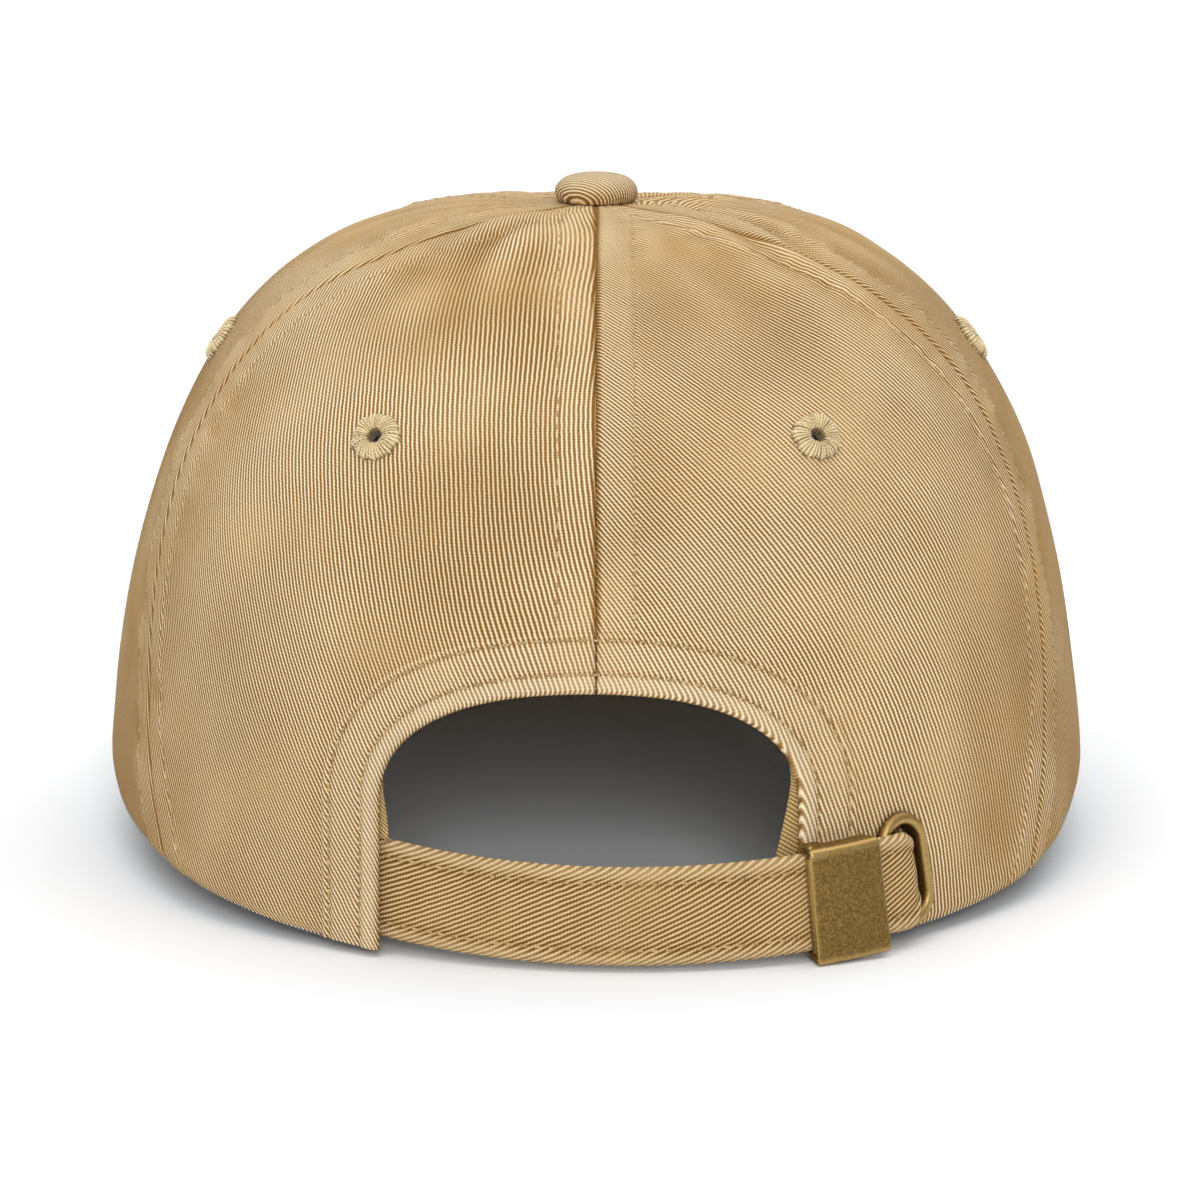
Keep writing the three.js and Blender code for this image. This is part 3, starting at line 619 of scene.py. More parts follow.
def twill_material(name, deep, body, crest, pitch=0.76, bump=0.0002):
    """Twill: diagonal wales of short yarn floats, worn pale where the cloth stands out.
    pitch is the millimetres between wales, and bump their depth in metres.

    The mesh's "calm" attribute is 0 for a crisp weave and 1 where washing has blurred it,
    and "lined" is 1 on the back of the cloth, which a grey interlining covers."""
    n = Nodes(name)
    uv = n.add("UVMap", uv_map="cloth").outputs[0]
    place = n.object_place()
    parts = n.add("SeparateXYZ")
    n.link(uv, parts.inputs[0])
    wander = n.noise(uv, 0.022, 1.0)
    jitter = n.noise(uv, 0.5, 1.0)
    across = n.math("MULTIPLY_ADD", wander, 5.0, parts.outputs[0])
    across = n.math("MULTIPLY_ADD", jitter, 0.22, across)
    phase = n.math("DIVIDE", across, pitch)
    wave = n.math("COSINE", n.math("MULTIPLY", phase, 2 * math.pi))
    ridge = n.math("POWER", n.math("MULTIPLY_ADD", wave, 0.5, 0.5), 1.15)
    step = n.math("ADD", n.math("DIVIDE", parts.outputs[1], FLOAT_LENGTH), n.math("MULTIPLY", phase, 0.5))
    bead = n.math("COSINE", n.math("MULTIPLY", step, 2 * math.pi))
    yarn = n.math("MULTIPLY_ADD", bead, 0.09, ridge)
    fuzz = n.math("SUBTRACT", n.noise(uv, 4.0, 2.0, 0.7), 0.5)
    patches = n.noise(place, 55, 2.0)
    crisp = n.math("SUBTRACT", n.math("MULTIPLY_ADD", patches, 1.5, 0.25), n.attribute("calm"))
    crisp = n.math("MINIMUM", n.math("MAXIMUM", crisp, 0.25), 1.05)
    weave = n.math("MULTIPLY_ADD", n.math("SUBTRACT", yarn, 0.5), crisp, 0.5)
    tone = n.math("MULTIPLY_ADD", fuzz, 0.6, weave)
    shade = n.attribute("shade")
    # Below zero, shade darkens the cloth: painted shade in the crown's seam grooves and towards its sides, and
    # darker dents elsewhere.
    tone = n.math("MULTIPLY_ADD", n.math("MINIMUM", shade, 0.0), 0.45, tone)
    color = n.ramp(tone, [(0.02, deep), (0.45, body), (1.0, crest)])
    blotch = n.noise(place, 38, 4.0, 0.6)
    tint = n.ramp(blotch, [(0.3, (0.91, 0.89, 0.86, 1)), (0.7, (1.05, 1.05, 1.05, 1))])
    color = n.mix(1.0, color, tint, "MULTIPLY")
    worn = n.math("MAXIMUM", shade, 0.0)
    color = n.mix(n.math("MULTIPLY", worn, 0.28), color, crest)
    grey = n.add("RGBToBW")
    n.link(color, grey.inputs[0])
    color = n.mix(n.math("MULTIPLY", n.attribute("lined"), 0.9), color, grey.outputs[0])
    height = n.math("MULTIPLY_ADD", fuzz, 0.3, weave)
    return n.surface(color, height, bump, 0.9, Sheen_Weight=0.02, Sheen_Tint=crest, Specular_IOR_Level=0.04)


def thread_material(name, dark, light, scale):
    """Twisted thread: fine slanting plies with a soft sheen."""
    n = Nodes(name)
    place = n.object_place()
    plies = n.add("TexWave", wave_type="BANDS", bands_direction="DIAGONAL")
    n.link(place, plies.inputs["Vector"])
    plies.inputs["Scale"].default_value = scale
    plies.inputs["Distortion"].default_value = 2.5
    fibres = n.noise(place, scale * 2.5, 3.0)
    tone = n.math("MULTIPLY_ADD", plies.outputs["Fac"], 0.45, n.math("MULTIPLY", fibres, 0.6))
    # shade: the thread's own random tone, plus painted shade at stitch ends and between an eyelet's turns, and a
    # painted highlight on the turns' crests.
    tone = n.math("MULTIPLY_ADD", n.attribute("shade"), 0.45, tone)
    color = n.ramp(tone, [(0.1, dark), (0.85, light)])
    return n.surface(color, tone, 0.00008, 0.5, Sheen_Weight=0.3, Specular_IOR_Level=0.4)


def brass_material(name):
    """Antique brass: a dark mottled coat, worn bright where edges stand out; on the buckle's bends and the slot
    wire's crest that brightening is partly a painted highlight.
    """
    n = Nodes(name)
    place = n.object_place()
    coarse = n.noise(place, 2300, 3.0, 0.6)
    fine = n.noise(place, 6000, 3.0, 0.7)
    grime = n.math("MULTIPLY_ADD", fine, 0.45, n.math("MULTIPLY", coarse, 0.7))
    aged = n.ramp(grime, [(0.42, srgb(98, 75, 36)), (0.58, srgb(128, 101, 54)), (0.75, srgb(166, 136, 78))])
    # Positive shade brightens the brass: worn metal at exposed edges, and partly a painted highlight on the
    # buckle's bends and the slot wire's crest.
    rubbed_and_highlight = n.math("MAXIMUM", n.attribute("shade"), 0.0)
    worn = n.math("MULTIPLY", rubbed_and_highlight, n.math("MULTIPLY_ADD", coarse, 0.8, 0.45))
    worn = n.math("MINIMUM", worn, 1.0)
    color = n.mix(worn, aged, srgb(205, 172, 108))
    rough = n.math("MULTIPLY_ADD", grime, 0.25, 0.3)
    return n.surface(color, grime, 0.00007, n.math("MULTIPLY_ADD", worn, -0.12, rough), Metallic=0.9)


def board_material(name, color):
    """Pressed board: one colour with a fine mottle."""
    n = Nodes(name)
    mottle = n.noise(n.object_place(), 300, 4.0)
    tint = n.ramp(mottle, [(0.25, (0.86, 0.86, 0.86, 1)), (0.75, (1, 1, 1, 1))])
    return n.surface(n.mix(1.0, color, tint, "MULTIPLY"), mottle, 0.00006, 0.6)


TWILL = twill_material("twill", srgb(134, 96, 48), srgb(198, 163, 111), srgb(254, 238, 204))
STRAP_TWILL = twill_material("strap_twill", srgb(118, 83, 38), srgb(176, 141, 90), srgb(232, 206, 160))
LINING = twill_material(
    "sweatband_twill", srgb(112, 109, 104), srgb(154, 151, 145), srgb(192, 189, 182), 0.6, 0.00012)
TAPE = twill_material(
    "tape_twill", srgb(136, 104, 56), srgb(178, 147, 96), srgb(210, 185, 138), 0.5, 0.0001)
LABEL = twill_material(
    "label_weave", srgb(206, 200, 186), srgb(233, 228, 215), srgb(246, 243, 234), 0.35, 0.00005)
STITCH = thread_material("stitch_thread", srgb(92, 64, 30), srgb(204, 172, 118), 900)
EYELET_THREAD = thread_material("eyelet_thread", srgb(116, 88, 42), srgb(242, 220, 168), 1100)
BRASS = brass_material("antique_brass")
BOARD = board_material("visor_board", srgb(222, 216, 200))


def finish(piece, body, slot, *nodes):
    """Hands a piece to the frame: what it rides on and what it replaces. Its record slot is not used."""
    if body is not None:
        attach(piece, body)
    if nodes:
        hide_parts(*nodes)
    return piece


# ---------- Crown panels ----------

TWILL_LEAN = math.radians(26)  # wales lean this far anticlockwise from a panel's centre line
PANEL_COLUMNS = 132
PANEL_ROWS = 190
EYELET_CUT = 2.2  # radius of the hole in the panel
SLOT_CUT = 2.8
SEAM_GAP = 0.04
INNER_RELIEF = 0.35  # how much of the outer face's relief the inner face shows


def on_rear_face(x, z):
    """The azimuth and t of the rear face's points at x and z."""
    azimuth = np.arctan2(-REACH_BACK + 0 * x, x)
    for _ in range(6):
        t = at_height(azimuth, z)
        y = -np.sqrt(np.maximum(radius_at(azimuth, t) ** 2 - x**2, 0))
        azimuth = np.arctan2(y, x)
    return azimuth, t


def gore_uv(azimuth, t, from_seam, to_seam):
    """Cloth coordinates of a panel laid flat about its centre line."""
    turn = half_turn(azimuth - (from_seam(t) + to_seam(t)) / 2)
    return wale_uv(turn * radius_at(azimuth, t), meridian_length(azimuth, t), TWILL_LEAN)


def rim_roll(azimuth, t):
    """Rounds the rim's edge: how far both faces close in on the cloth's middle."""
    point = crown_point(azimuth, t)
    distance = point[:, 2] - rim_height(azimuth, point[:, 0], point[:, 1])
    return CLOTH / 2 * circle_edge(distance, 1.3)


def crowded(count, crowd):
    """Numbers from 0 to 1 that lie closer together towards both ends."""
    even = np.linspace(0, 1, count + 1)
    return even - crowd * np.sin(2 * np.pi * even) / (2 * np.pi)


def crown_panel(name, from_seam, to_seam, holes, arch, node):
    rows = APEX_TOP * np.linspace(0, 1, PANEL_ROWS + 1)[:, None]
    share = crowded(PANEL_COLUMNS, 0.55)[None, :]
    start, end = from_seam(rows), to_seam(rows)
    edge = SEAM_GAP / 2 / radius_at((start + end) / 2, rows)
    azimuth = (start + edge) * (1 - share) + (end - edge) * share
    azimuth, t = azimuth.ravel(), (rows + 0 * share).ravel()
    faces = np.array(grid_faces(PANEL_COLUMNS, PANEL_ROWS))
    smooth = crown_point(azimuth, t)
    keep = np.ones(len(faces), bool)
    if arch:
        keep &= arch_distance(smooth[:, 0], smooth[:, 2])[faces].mean(1) > 1.6
    for centre, radius in holes:
        keep &= np.linalg.norm(smooth - centre, axis=1)[faces].mean(1) > radius
    faces = [tuple(face) for face in faces[keep].tolist()]
    normal = crown_normal(azimuth, t)
    stand = relief(azimuth, t)
    roll = rim_roll(azimuth, t)
    outer = smooth + normal * (stand - roll)[:, None]
    inner = smooth + normal * (INNER_RELIEF * stand - CLOTH + roll)[:, None]
    uv = gore_uv(azimuth, t, from_seam, to_seam)
    seams = [np.abs(seam_distance(seam, azimuth, t)) for seam in (from_seam, to_seam)]
    aside = np.abs(smooth[:, 0])
    # Painted shade: groove darkens the cloth along each seam's groove, most at the back seam, and the smoothstep
    # term below darkens the cloth towards the crown's sides. The stand term makes raised cloth paler (wear) and
    # dents darker.
    groove = (1.2 - 0.7 * smoothstep(aside, 10, 40)) * hump(np.minimum(*seams), 0, 0.5)
    shade = np.clip(stand * 0.6 - 0.1 - 0.4 * smoothstep(aside, 45, 82) - groove, -1.2, 1)
    calm = 0.35 * smoothstep(smooth[:, 2], 84, 111) + 0.3 * smoothstep(aside, 50, 82)
    outer, faces, uv, shade, calm, inner = compact(outer, faces, uv, shade, calm, inner)
    piece = add_slab(
        name, outer, inner, faces, TWILL, uv, shade, back=0,
        calm=np.hstack([calm, calm]), lined=np.hstack([0 * shade, 0 * shade + 1]),
    )
    return finish(piece, "cap", "twill", node)


def rear_seam_again(t):
    """The rear seam seen once more, a full turn on."""
    return SEAMS["rear"](t) + 2 * np.pi


PANELS = (  # name, and the seams where it starts and ends
    ("rear_right", SEAMS["rear"], SEAMS["rear_right"]),
    ("side_right", SEAMS["rear_right"], SEAMS["front_right"]),
    ("front_right", SEAMS["front_right"], SEAMS["front"]),
    ("front_left", SEAMS["front"], SEAMS["front_left"]),
    ("side_left", SEAMS["front_left"], SEAMS["rear_left"]),
    ("rear_left", SEAMS["rear_left"], rear_seam_again),
)


def eyelet_place(panel):
    """The azimuth and t of a panel's eyelet; the left panels mirror the right ones."""
    part, side = panel.split("_")
    degrees, height = EYELET_PLACES[part]
    azimuth = math.radians(degrees if side == "right" else 180 - degrees)
    return azimuth, at_height(azimuth, height)


def crown():
    for name, start, end in PANELS:
        holes = [(crown_point(*eyelet_place(name)), EYELET_CUT)]
        if name == "rear_right":
            holes += [(centre, SLOT_CUT) for centre in slot_centres()]
        crown_panel("crown_" + name, start, end, holes, "rear" in name, "panel_" + name)


LEG_PLACE = 0.17  # where a leg ends and the arch begins
SEAM_PLACE = 0.5


def arch_line(distance, start, end, count):
    """x and z along the arch let out by a distance, from one foot (0) to the other (1).

    start and end are places on the whole line; the seam's is SEAM_PLACE."""
    half, rise = ARCH_HALF + distance, ARCH_TOP - ARCH_SPRING + distance
    power = 2 / ARCH_SQUARENESS
    seam_angle = np.arccos((-ARCH_X / half) ** (1 / power))
    place = np.linspace(start, end, count)
    stops = [0, LEG_PLACE, SEAM_PLACE, 1 - LEG_PLACE, 1]
    bend = np.interp(place, stops, [0, 0, seam_angle, math.pi, math.pi])
    x = np.sign(np.cos(bend)) * np.abs(np.cos(bend)) ** power * half
    z = ARCH_SPRING + np.abs(np.sin(bend)) ** power * rise
    up = np.clip(np.minimum(place, 1 - place) / LEG_PLACE, 0, 1)
    across = np.abs((x + ARCH_X) / HALF_WIDTH) ** SQUARENESS
    foot = rim_plane(-REACH_BACK * (1 - across) ** (1 / SQUARENESS))
    return x + ARCH_X, foot + (z - foot) * np.where(up < 1, up, 1)


def arch_hem(name, start, end, from_seam, to_seam):
    """The arch's edge, folded round and stitched down: one panel's share of it.

    Its section is points (distance from the edge, height off the panel, outside or not)."""
    fold = 1.0  # where the cloth starts to turn round the edge
    top, bottom, sunk = float(hem_profile(fold)), -CLOTH - 0.35, -0.6
    section = [(d, float(hem_profile(d)), True) for d in np.linspace(HEM_WIDTH, fold, 30)]
    section[0] = (HEM_WIDTH, -0.2, True)
    for a in np.linspace(0, math.pi, 14)[1:-1]:
        rise = (top + bottom) / 2 + (top - bottom) / 2 * math.cos(a)
        section.append((fold - 1.15 * math.sin(a), rise, a < math.pi / 2))
    section += [(d, h, False) for d, h in ((fold, bottom), (2.6, bottom + 0.2), (2.6, sunk), (HEM_WIDTH, sunk))]
    points, uv, shade = [], [], []
    for d, offset, outside in section:
        x, z = arch_line(max(d, -0.2), start, end, 260)
        azimuth, t = on_rear_face(x, z)
        stand = relief(azimuth, t) * (1.0 if outside else INNER_RELIEF) + offset
        if outside:
            stand = stand - 0.25 * hump(x, 0, 0.8)
        points.append(crown_point(azimuth, t) + crown_normal(azimuth, t) * stand[:, None])
        cloth = gore_uv(azimuth, t, from_seam, to_seam)
        cloth[:, 0] += 0.8 * max(0.0, top - offset) * (d < fold)
        uv.append(cloth)
        shade.append(np.clip(1.7 * (offset + 0 * x) - 0.35, -0.6, 0.9))
    return finish(loft(name, points, TWILL, uv, shade), "cap", "twill")


def arch_hems():
    inset = 0.0006  # the seam's groove between the two hems
    arch_hem("arch_hem_right", 0, SEAM_PLACE - inset, SEAMS["rear"], SEAMS["rear_right"])
    arch_hem("arch_hem_left", SEAM_PLACE + inset, 1, SEAMS["rear_left"], rear_seam_again)


# ---------- Stitches ----------


STITCH_RINGS = 5
STITCH_SIDES = 6


def stitch_row(path, normals, seed, length=2.2, gap=0.3):
    """Thread stitches along a path of crown-frame points: points and faces of one mesh."""
    lengths = np.linalg.norm(np.diff(path, axis=0), axis=1)
    travel = np.concatenate([[0], np.cumsum(lengths)])
    count = max(int(travel[-1] / (length + gap)), 1)
    pitch = travel[-1] / count
    swell = THREAD_RADIUS * np.array([0.35, 0.95, 1.05, 0.95, 0.35])
    rise = np.array([-0.32, -0.08, 0, -0.08, -0.32])
    points, faces = [], []
    for k in range(count):
        wobble = 0.12 * lattice(np.float64(k), 0.0, 0.0, seed)
        stations = (k + 0.5) * pitch + np.linspace(-0.5, 0.5, STITCH_RINGS) * length
        spot, up = (
            np.stack([np.interp(stations, travel, line[:, a]) for a in range(3)], 1) for line in (path, normals))
        side = np.cross(up, unit(np.gradient(spot, axis=0)))
        start = len(points)
        for r in range(STITCH_RINGS):
            slant = wobble * (r / (STITCH_RINGS - 1) - 0.5) * 2
            for s in range(STITCH_SIDES):
                angle = 2 * math.pi * s / STITCH_SIDES
                offset = side[r] * (math.cos(angle) * swell[r] + slant)
                offset = offset + up[r] * (math.sin(angle) * swell[r] + rise[r])
                points.append(spot[r] + offset)
        tube = sweep([range(STITCH_SIDES)] * STITCH_RINGS)
        faces += [tuple(start + v for v in face) for face in tube]
    return points, faces


def add_stitches(name, rows, **spacing):
    """One piece for several rows of stitches, each a pair of a path and its normals."""
    points, faces = [], []
    for k, (path, normals) in enumerate(rows):
        more, quads = stitch_row(path, normals, k, **spacing)
        faces += [tuple(len(points) + v for v in face) for face in quads]
        points += more
    number = np.arange(len(points))
    ring = (number // STITCH_SIDES) % STITCH_RINGS
    stitch = number // (STITCH_SIDES * STITCH_RINGS) * 1.0
    # Painted shade: each stitch's end rings, where the thread sinks into the cloth, are darkened. The random
    # lattice term is the thread's own tone.
    ends = (ring == 0) | (ring == STITCH_RINGS - 1)
    shade = 0.35 * lattice(stitch, 0.0, 0.0, 2) + np.where(ends, -1.6, 0.3)
    return finish(add_mesh(name, np.array(points), faces, STITCH, shade=shade), "cap", "thread")


def crown_stitch_rows():
    rows = []
    for name, seam in SEAMS.items():
        for side in (-1, 1):
            t = np.linspace(0.012, 0.93, 160)
            spread = np.minimum(TOPSTITCH / seam_reach(seam, seam(t), t), math.radians(19))
            azimuth = seam(t) + side * spread
            keep = np.ones(len(t), bool)
            if name == "rear":
                place = crown_point(azimuth, t)
                keep = arch_distance(place[:, 0], place[:, 2]) > HEM_STITCHES[0]
            azimuth, t = azimuth[keep], t[keep]
            rows.append((cloth_point(azimuth, t), crown_normal(azimuth, t)))
    return rows


def arch_rows():
    """The two rows round the arch, on its hem."""
    rows = []
    for distance in HEM_STITCHES:
        x, z = arch_line(distance, 0.01, 0.99, 500)
        azimuth, t = on_rear_face(x, z)
        lift = float(hem_profile(distance)) + 0.14
        rows.append((cloth_point(azimuth, t, lift), crown_normal(azimuth, t)))
    return rows


# ---------- Eyelets ----------


def eyelet(name, azimuth, t, seed, node):
    """Thread wound round a hole: a domed ring with one ridge for each turn of thread."""
    normal = crown_normal(azimuth, t)
    centre = cloth_point(azimuth, t)
    side = unit(np.cross([0, 0, 1], normal))
    up = np.cross(normal, side)
    per_thread = 6
    columns = EYELET_THREADS * per_thread
    theta = np.arange(columns) * 2 * math.pi / columns
    turn = (np.arange(columns) // per_thread) * 1.0
    ridge = np.abs(np.sin(np.pi * (np.arange(columns) % per_thread + 0.5) / per_thread))
    outer = EYELET_OUTER + 0.26 * lattice(turn, 0.0, 0.0, seed) + 0.2 * np.sin(2 * theta + seed)
    inner = EYELET_INNER + 0.12 * lattice(turn, 1.0, 0.0, seed)
    section = []
    for angle in np.linspace(0, math.pi, 16):
        radius = (inner + outer) / 2 + np.cos(angle) * (outer - inner) / 2
        rise = math.sin(angle) ** 0.8
        section.append((radius, 0.05 + EYELET_DOME * rise + 0.28 * (ridge - 0.6) * (0.35 + 0.65 * rise)))
    section.append((inner + 0.1, -0.8 + 0 * theta))
    for angle in np.linspace(0, math.pi, 6):
        radius = inner + 0.2 + (outer - inner - 1.0) * (1 - math.cos(angle)) / 2
        section.append((radius, -1.35 - 0.5 * math.sin(angle) - 0.1 * ridge))
    section.append((outer - 0.9, -0.6 + 0 * theta))
    points, shade = [], []
    for k, (radius, lift) in enumerate(section):
        swing = theta + 0.004 * k * lattice(turn, 3.0, 0.0, seed)
        spot = np.cos(swing)[:, None] * side + np.sin(swing)[:, None] * up
        sag = radius**2 / (2 * WALL_RADIUS)
        points.append(centre + spot * radius[:, None] + normal * (lift - sag)[:, None])
        # Painted light: paler crests and darker gaps between the turns (painted highlight and painted shade), a
        # darkened hole (inside), and a painted contact shadow round the eyelet's foot. The lattice term is the
        # thread's own tone.
        inside = 1.1 if 12 < k < 17 else 0.0
        foot_shadow = 0.6 if k < 2 else 0.0
        shade.append(1.6 * ridge - 0.95 - inside - foot_shadow + 0.3 * lattice(turn, 4.0, 0.0, seed))
    piece = loft(name, points, EYELET_THREAD, None, shade, closed=True)
    return finish(piece, "cap", "thread", node)


def eyelets():
    names = [part + side for part in EYELET_PLACES for side in ("_right", "_left")]
    for k, name in enumerate(names):
        eyelet("eyelet_thread_" + name, *eyelet_place(name), k + 1, "eyelet_" + name)


# ---------- Turned pieces: button, rivet and hinge pin ----------


def turned(name, profile, segments, material, shade, place=None, uv=None):
    """A solid of revolution about z, from points (radius, height) that start and end on the axis.

    shade and uv are worked out from its points, and place then moves them."""
    profile = np.array(profile, float)
    theta = np.arange(segments) * 2 * math.pi / segments
    rings = profile[1:-1]
    points = [[0, 0, profile[0, 1]]]
    for r, z in rings:
        points += [[r * math.cos(a), r * math.sin(a), z] for a in theta]
    points.append([0, 0, profile[-1, 1]])
    faces = [(0, 1 + (k + 1) % segments, 1 + k) for k in range(segments)]
    faces += grid_faces(segments, len(rings) - 1, start=1, loop_columns=True)
    top = 1 + (len(rings) - 1) * segments
    faces += [(top + k, top + (k + 1) % segments, len(points) - 1) for k in range(segments)]
    points = np.array(points)
    placed = place(points) if place else points
    return add_mesh(name, placed, faces, material, uv(points) if uv else None, shade(points))


def button():
    foot = HEIGHT + GAP - BUTTON_DIP
    belly = 1.75  # height of its widest line
    profile = [(0, foot + 0.5), (4, foot + 0.2), (6.0, foot + 0.02)]
    for angle in np.linspace(-0.55, math.pi / 2, 23):
        swell = max(math.cos(angle), 0) ** 0.62
        profile.append((BUTTON_RADIUS * swell, foot + belly + (BUTTON_HEIGHT - belly) * math.sin(angle)))
    profile[-1] = (0, profile[-1][1])

    def cloth(points):
        """The cover is pulled down over the sides, so its wales bend round the edge."""
        radius = np.hypot(points[:, 0], points[:, 1])
        down = foot + BUTTON_HEIGHT - points[:, 2]
        stretch = (radius + 0.9 * down) / np.maximum(radius, 1e-6)
        return wale_uv(points[:, 0] * stretch, points[:, 1] * stretch, math.radians(62))

    def gathered(points):
        """The cloth is gathered into small pleats below the widest line."""
        moved = points.copy()
        radius = np.hypot(points[:, 0], points[:, 1])
        theta = np.arctan2(points[:, 1], points[:, 0])
        low = np.clip((foot + 2.2 - points[:, 2]) / 2.2, 0, 1)
        pleat = 1 + 0.02 * low * np.sin(17 * theta) + 0.012 * noise(theta * 2, low * 2, seed=8)
        moved[:, :2] *= np.where(radius > 0.1, pleat, 1)[:, None]
        return moved

    def worn(points):
        return 0.9 * smoothstep(points[:, 2], foot + 1.0, foot + BUTTON_HEIGHT) - 0.25

    piece = turned("button_cover", profile, 96, TWILL, worn, gathered, cloth)
    finish(piece, "cap", "twill", "button_cap")


def rivet():
    top = HEIGHT - BUTTON_DIP + BUTTON_HEIGHT - 2.2
    disc = HEIGHT - BUTTON_DIP - CLOTH - 0.9
    profile = [
        (0, disc - 1.25), (1.2, disc - 1.3), (2.2, disc - 1.15), (3.0, disc - 1.2), (5.6, disc - 1.15),
        (6.5, disc - 0.95), (6.95, disc - 0.6), (6.9, disc - 0.25), (6.4, disc), (1.5, disc),
        (1.4, disc + 0.3), (1.4, top - 0.2), (1.2, top), (0, top),
    ]

    def worn(points):
        return 0.4 * hump(np.hypot(points[:, 0], points[:, 1]), 6.7, 0.6)

    piece = turned("button_rivet_disc", profile, 64, BRASS, worn)
    finish(piece, "cap", "brass", "button_rivet")


# ---------- Linings: sweatband, tapes, facing and label ----------


def band_depth(azimuth):
    near = 1 - smoothstep(np.sin(azimuth), math.sin(math.radians(-46)), math.sin(math.radians(-30)))
    return BAND_DEPTH + (BAND_DEPTH_AT_CLOSURE - BAND_DEPTH) * near


def band_foot(azimuth):
    near = smoothstep(np.sin(azimuth), math.sin(math.radians(18)), math.sin(math.radians(28)))
    return 0.8 + 2.8 * near


def sheet_inside(name, azimuth, t, depth, thickness, material, uv, shade=0.0):
    """A lining with soft edges, against the crown's inner side.

    uv is (millimetres along, millimetres up, the weave's angle)."""
    rows, columns = azimuth.shape[0] - 1, azimuth.shape[1] - 1
    up = shares(columns, rows)[0] + 0 * azimuth
    soft = (1 - 0.75 * circle_edge(np.minimum(up, 1 - up), 1.5 / rows)).ravel()
    uv = wale_uv((uv[0] + 0 * azimuth).ravel(), (uv[1] + 0 * azimuth).ravel(), math.radians(uv[2]))
    depth, shade = (depth + 0 * azimuth).ravel(), (shade + 0 * azimuth).ravel()
    azimuth, t = azimuth.ravel(), t.ravel()
    smooth = crown_point(azimuth, t)
    normal = crown_normal(azimuth, t)
    middle = depth + thickness / 2
    outer = smooth - normal * (middle - thickness / 2 * soft)[:, None]
    inner = smooth - normal * (middle + thickness / 2 * soft)[:, None]
    return add_slab(name, outer, inner, grid_faces(columns, rows), material, uv, shade)


def sweatband():
    """The band, whose two ends stop just behind the arch's legs."""
    up, share = shares(300, 26)
    slant = 2.6 * smoothstep(up, 0.35, 1.0)
    start = np.radians(-67.2 + slant)
    end = np.radians(241.6 - slant)
    azimuth = start * (1 - share) + end * share
    foot = band_foot(azimuth)
    t = above_rim(azimuth, foot + (BAND_HEIGHT - foot) * up)
    puff = 0.25 * np.sin(np.pi * np.clip(up * 3.2, 0, 1)) + 0.12 * noise(azimuth * 30, up * 3, seed=21)
    depth = band_depth(azimuth) - puff * 0.3
    uv = (azimuth * 90, up * BAND_HEIGHT, 40)
    piece = sheet_inside("sweatband_cloth", azimuth, t, depth, BAND_THICKNESS, LINING, uv, puff - 0.1)
    finish(piece, "cap", "sweatband_twill", "sweatband")
    rows = []
    line = np.linspace(math.radians(-63.6), math.radians(238), 700)
    for height in (band_foot(line) + 3.0, BAND_HEIGHT - 2.2):
        spot = above_rim(line, height)
        normal = -crown_normal(line, spot)
        depth = band_depth(line) + BAND_THICKNESS - 0.04
        rows.append((crown_point(line, spot) + normal * depth[:, None], normal))
    add_stitches("sweatband_stitching", rows)


def seam_tapes():
    up, share = shares(8, 110)
    rear_foot = float(at_height(math.radians(-90), ARCH_TOP + 11))
    for k, (name, seam) in enumerate(SEAMS.items()):
        foot = rear_foot if name == "rear" else float(above_rim(seam(np.float64(0)), 3.0))
        top = float(crown_search(seam(np.float64(APEX_TOP)), -15.2, lambda p: -np.hypot(p[..., 0], p[..., 1])))
        t = foot + (top - foot) * up + 0 * share
        across = TAPE_HALF_WIDTH * (2 * share - 1) + 0 * up
        azimuth = seam(t) + across / radius_at(seam(t), t)
        depth = TAPE_DEPTH + 0.08 * noise(t * 40, across / 3, seed=k)
        tone = 0.3 * np.cos(across * 1.1)
        uv = (across, t * 150, 45)
        piece = sheet_inside("seam_binding_" + name, azimuth, t, depth, 0.5, TAPE, uv, tone)
        finish(piece, "cap", "tape", "seam_tape_" + name)


def facing():
    """The strip that faces the arch inside. It leans past the edge at the foot of each leg."""
    start, end = 0.105, 0.87
    up, share = shares(200, 10)
    out = 0.7 + 8.9 * up
    lines = [arch_line(float(d), start, end, share.size) for d in out.ravel()]
    x, z = np.stack([line[0] for line in lines]), np.stack([line[1] for line in lines])
    place = start + (end - start) * share
    lean = 1.9 * smoothstep(place, 0.76, end) - 4.6 * (np.clip(0.26 - place, 0, 1) / (0.26 - start)) ** 1.2
    azimuth, t = on_rear_face((x + lean * (1 - up)).ravel(), z.ravel())
    azimuth, t = azimuth.reshape(x.shape)[:, ::-1], t.reshape(x.shape)[:, ::-1]
    piece = sheet_inside("arch_binding", azimuth, t, TAPE_DEPTH, 0.55, TAPE, (110 * (1 - share), out, 45))
    finish(piece, "cap", "tape", "arch_facing")


def care_label():
    """A blank folded tab on the sweatband."""
    up, share = shares(26, 40)
    azimuth = np.radians(-152 + 13 * share) + 0 * up
    t = above_rim(azimuth, 6 + 24 * up)
    curl = 0.8 * (1 - up) ** 2 * (0.6 + 0.4 * np.sin(share * 3))
    depth = band_depth(azimuth) + 1.35 + curl
    piece = sheet_inside("care_tab", azimuth, t, depth, 0.4, LABEL, (share * 20, up * 24, 0))
    finish(piece, "cap", "label", "care_label")


# ---------- Visor ----------

VISOR_ROWS = np.arange(5.0, 51, 7.5)  # stitch rows, from the outer edge
VISOR_ROLL = 2.6  # how far from the edge its cloths start to close in
VISOR_CLOTH = 0.8


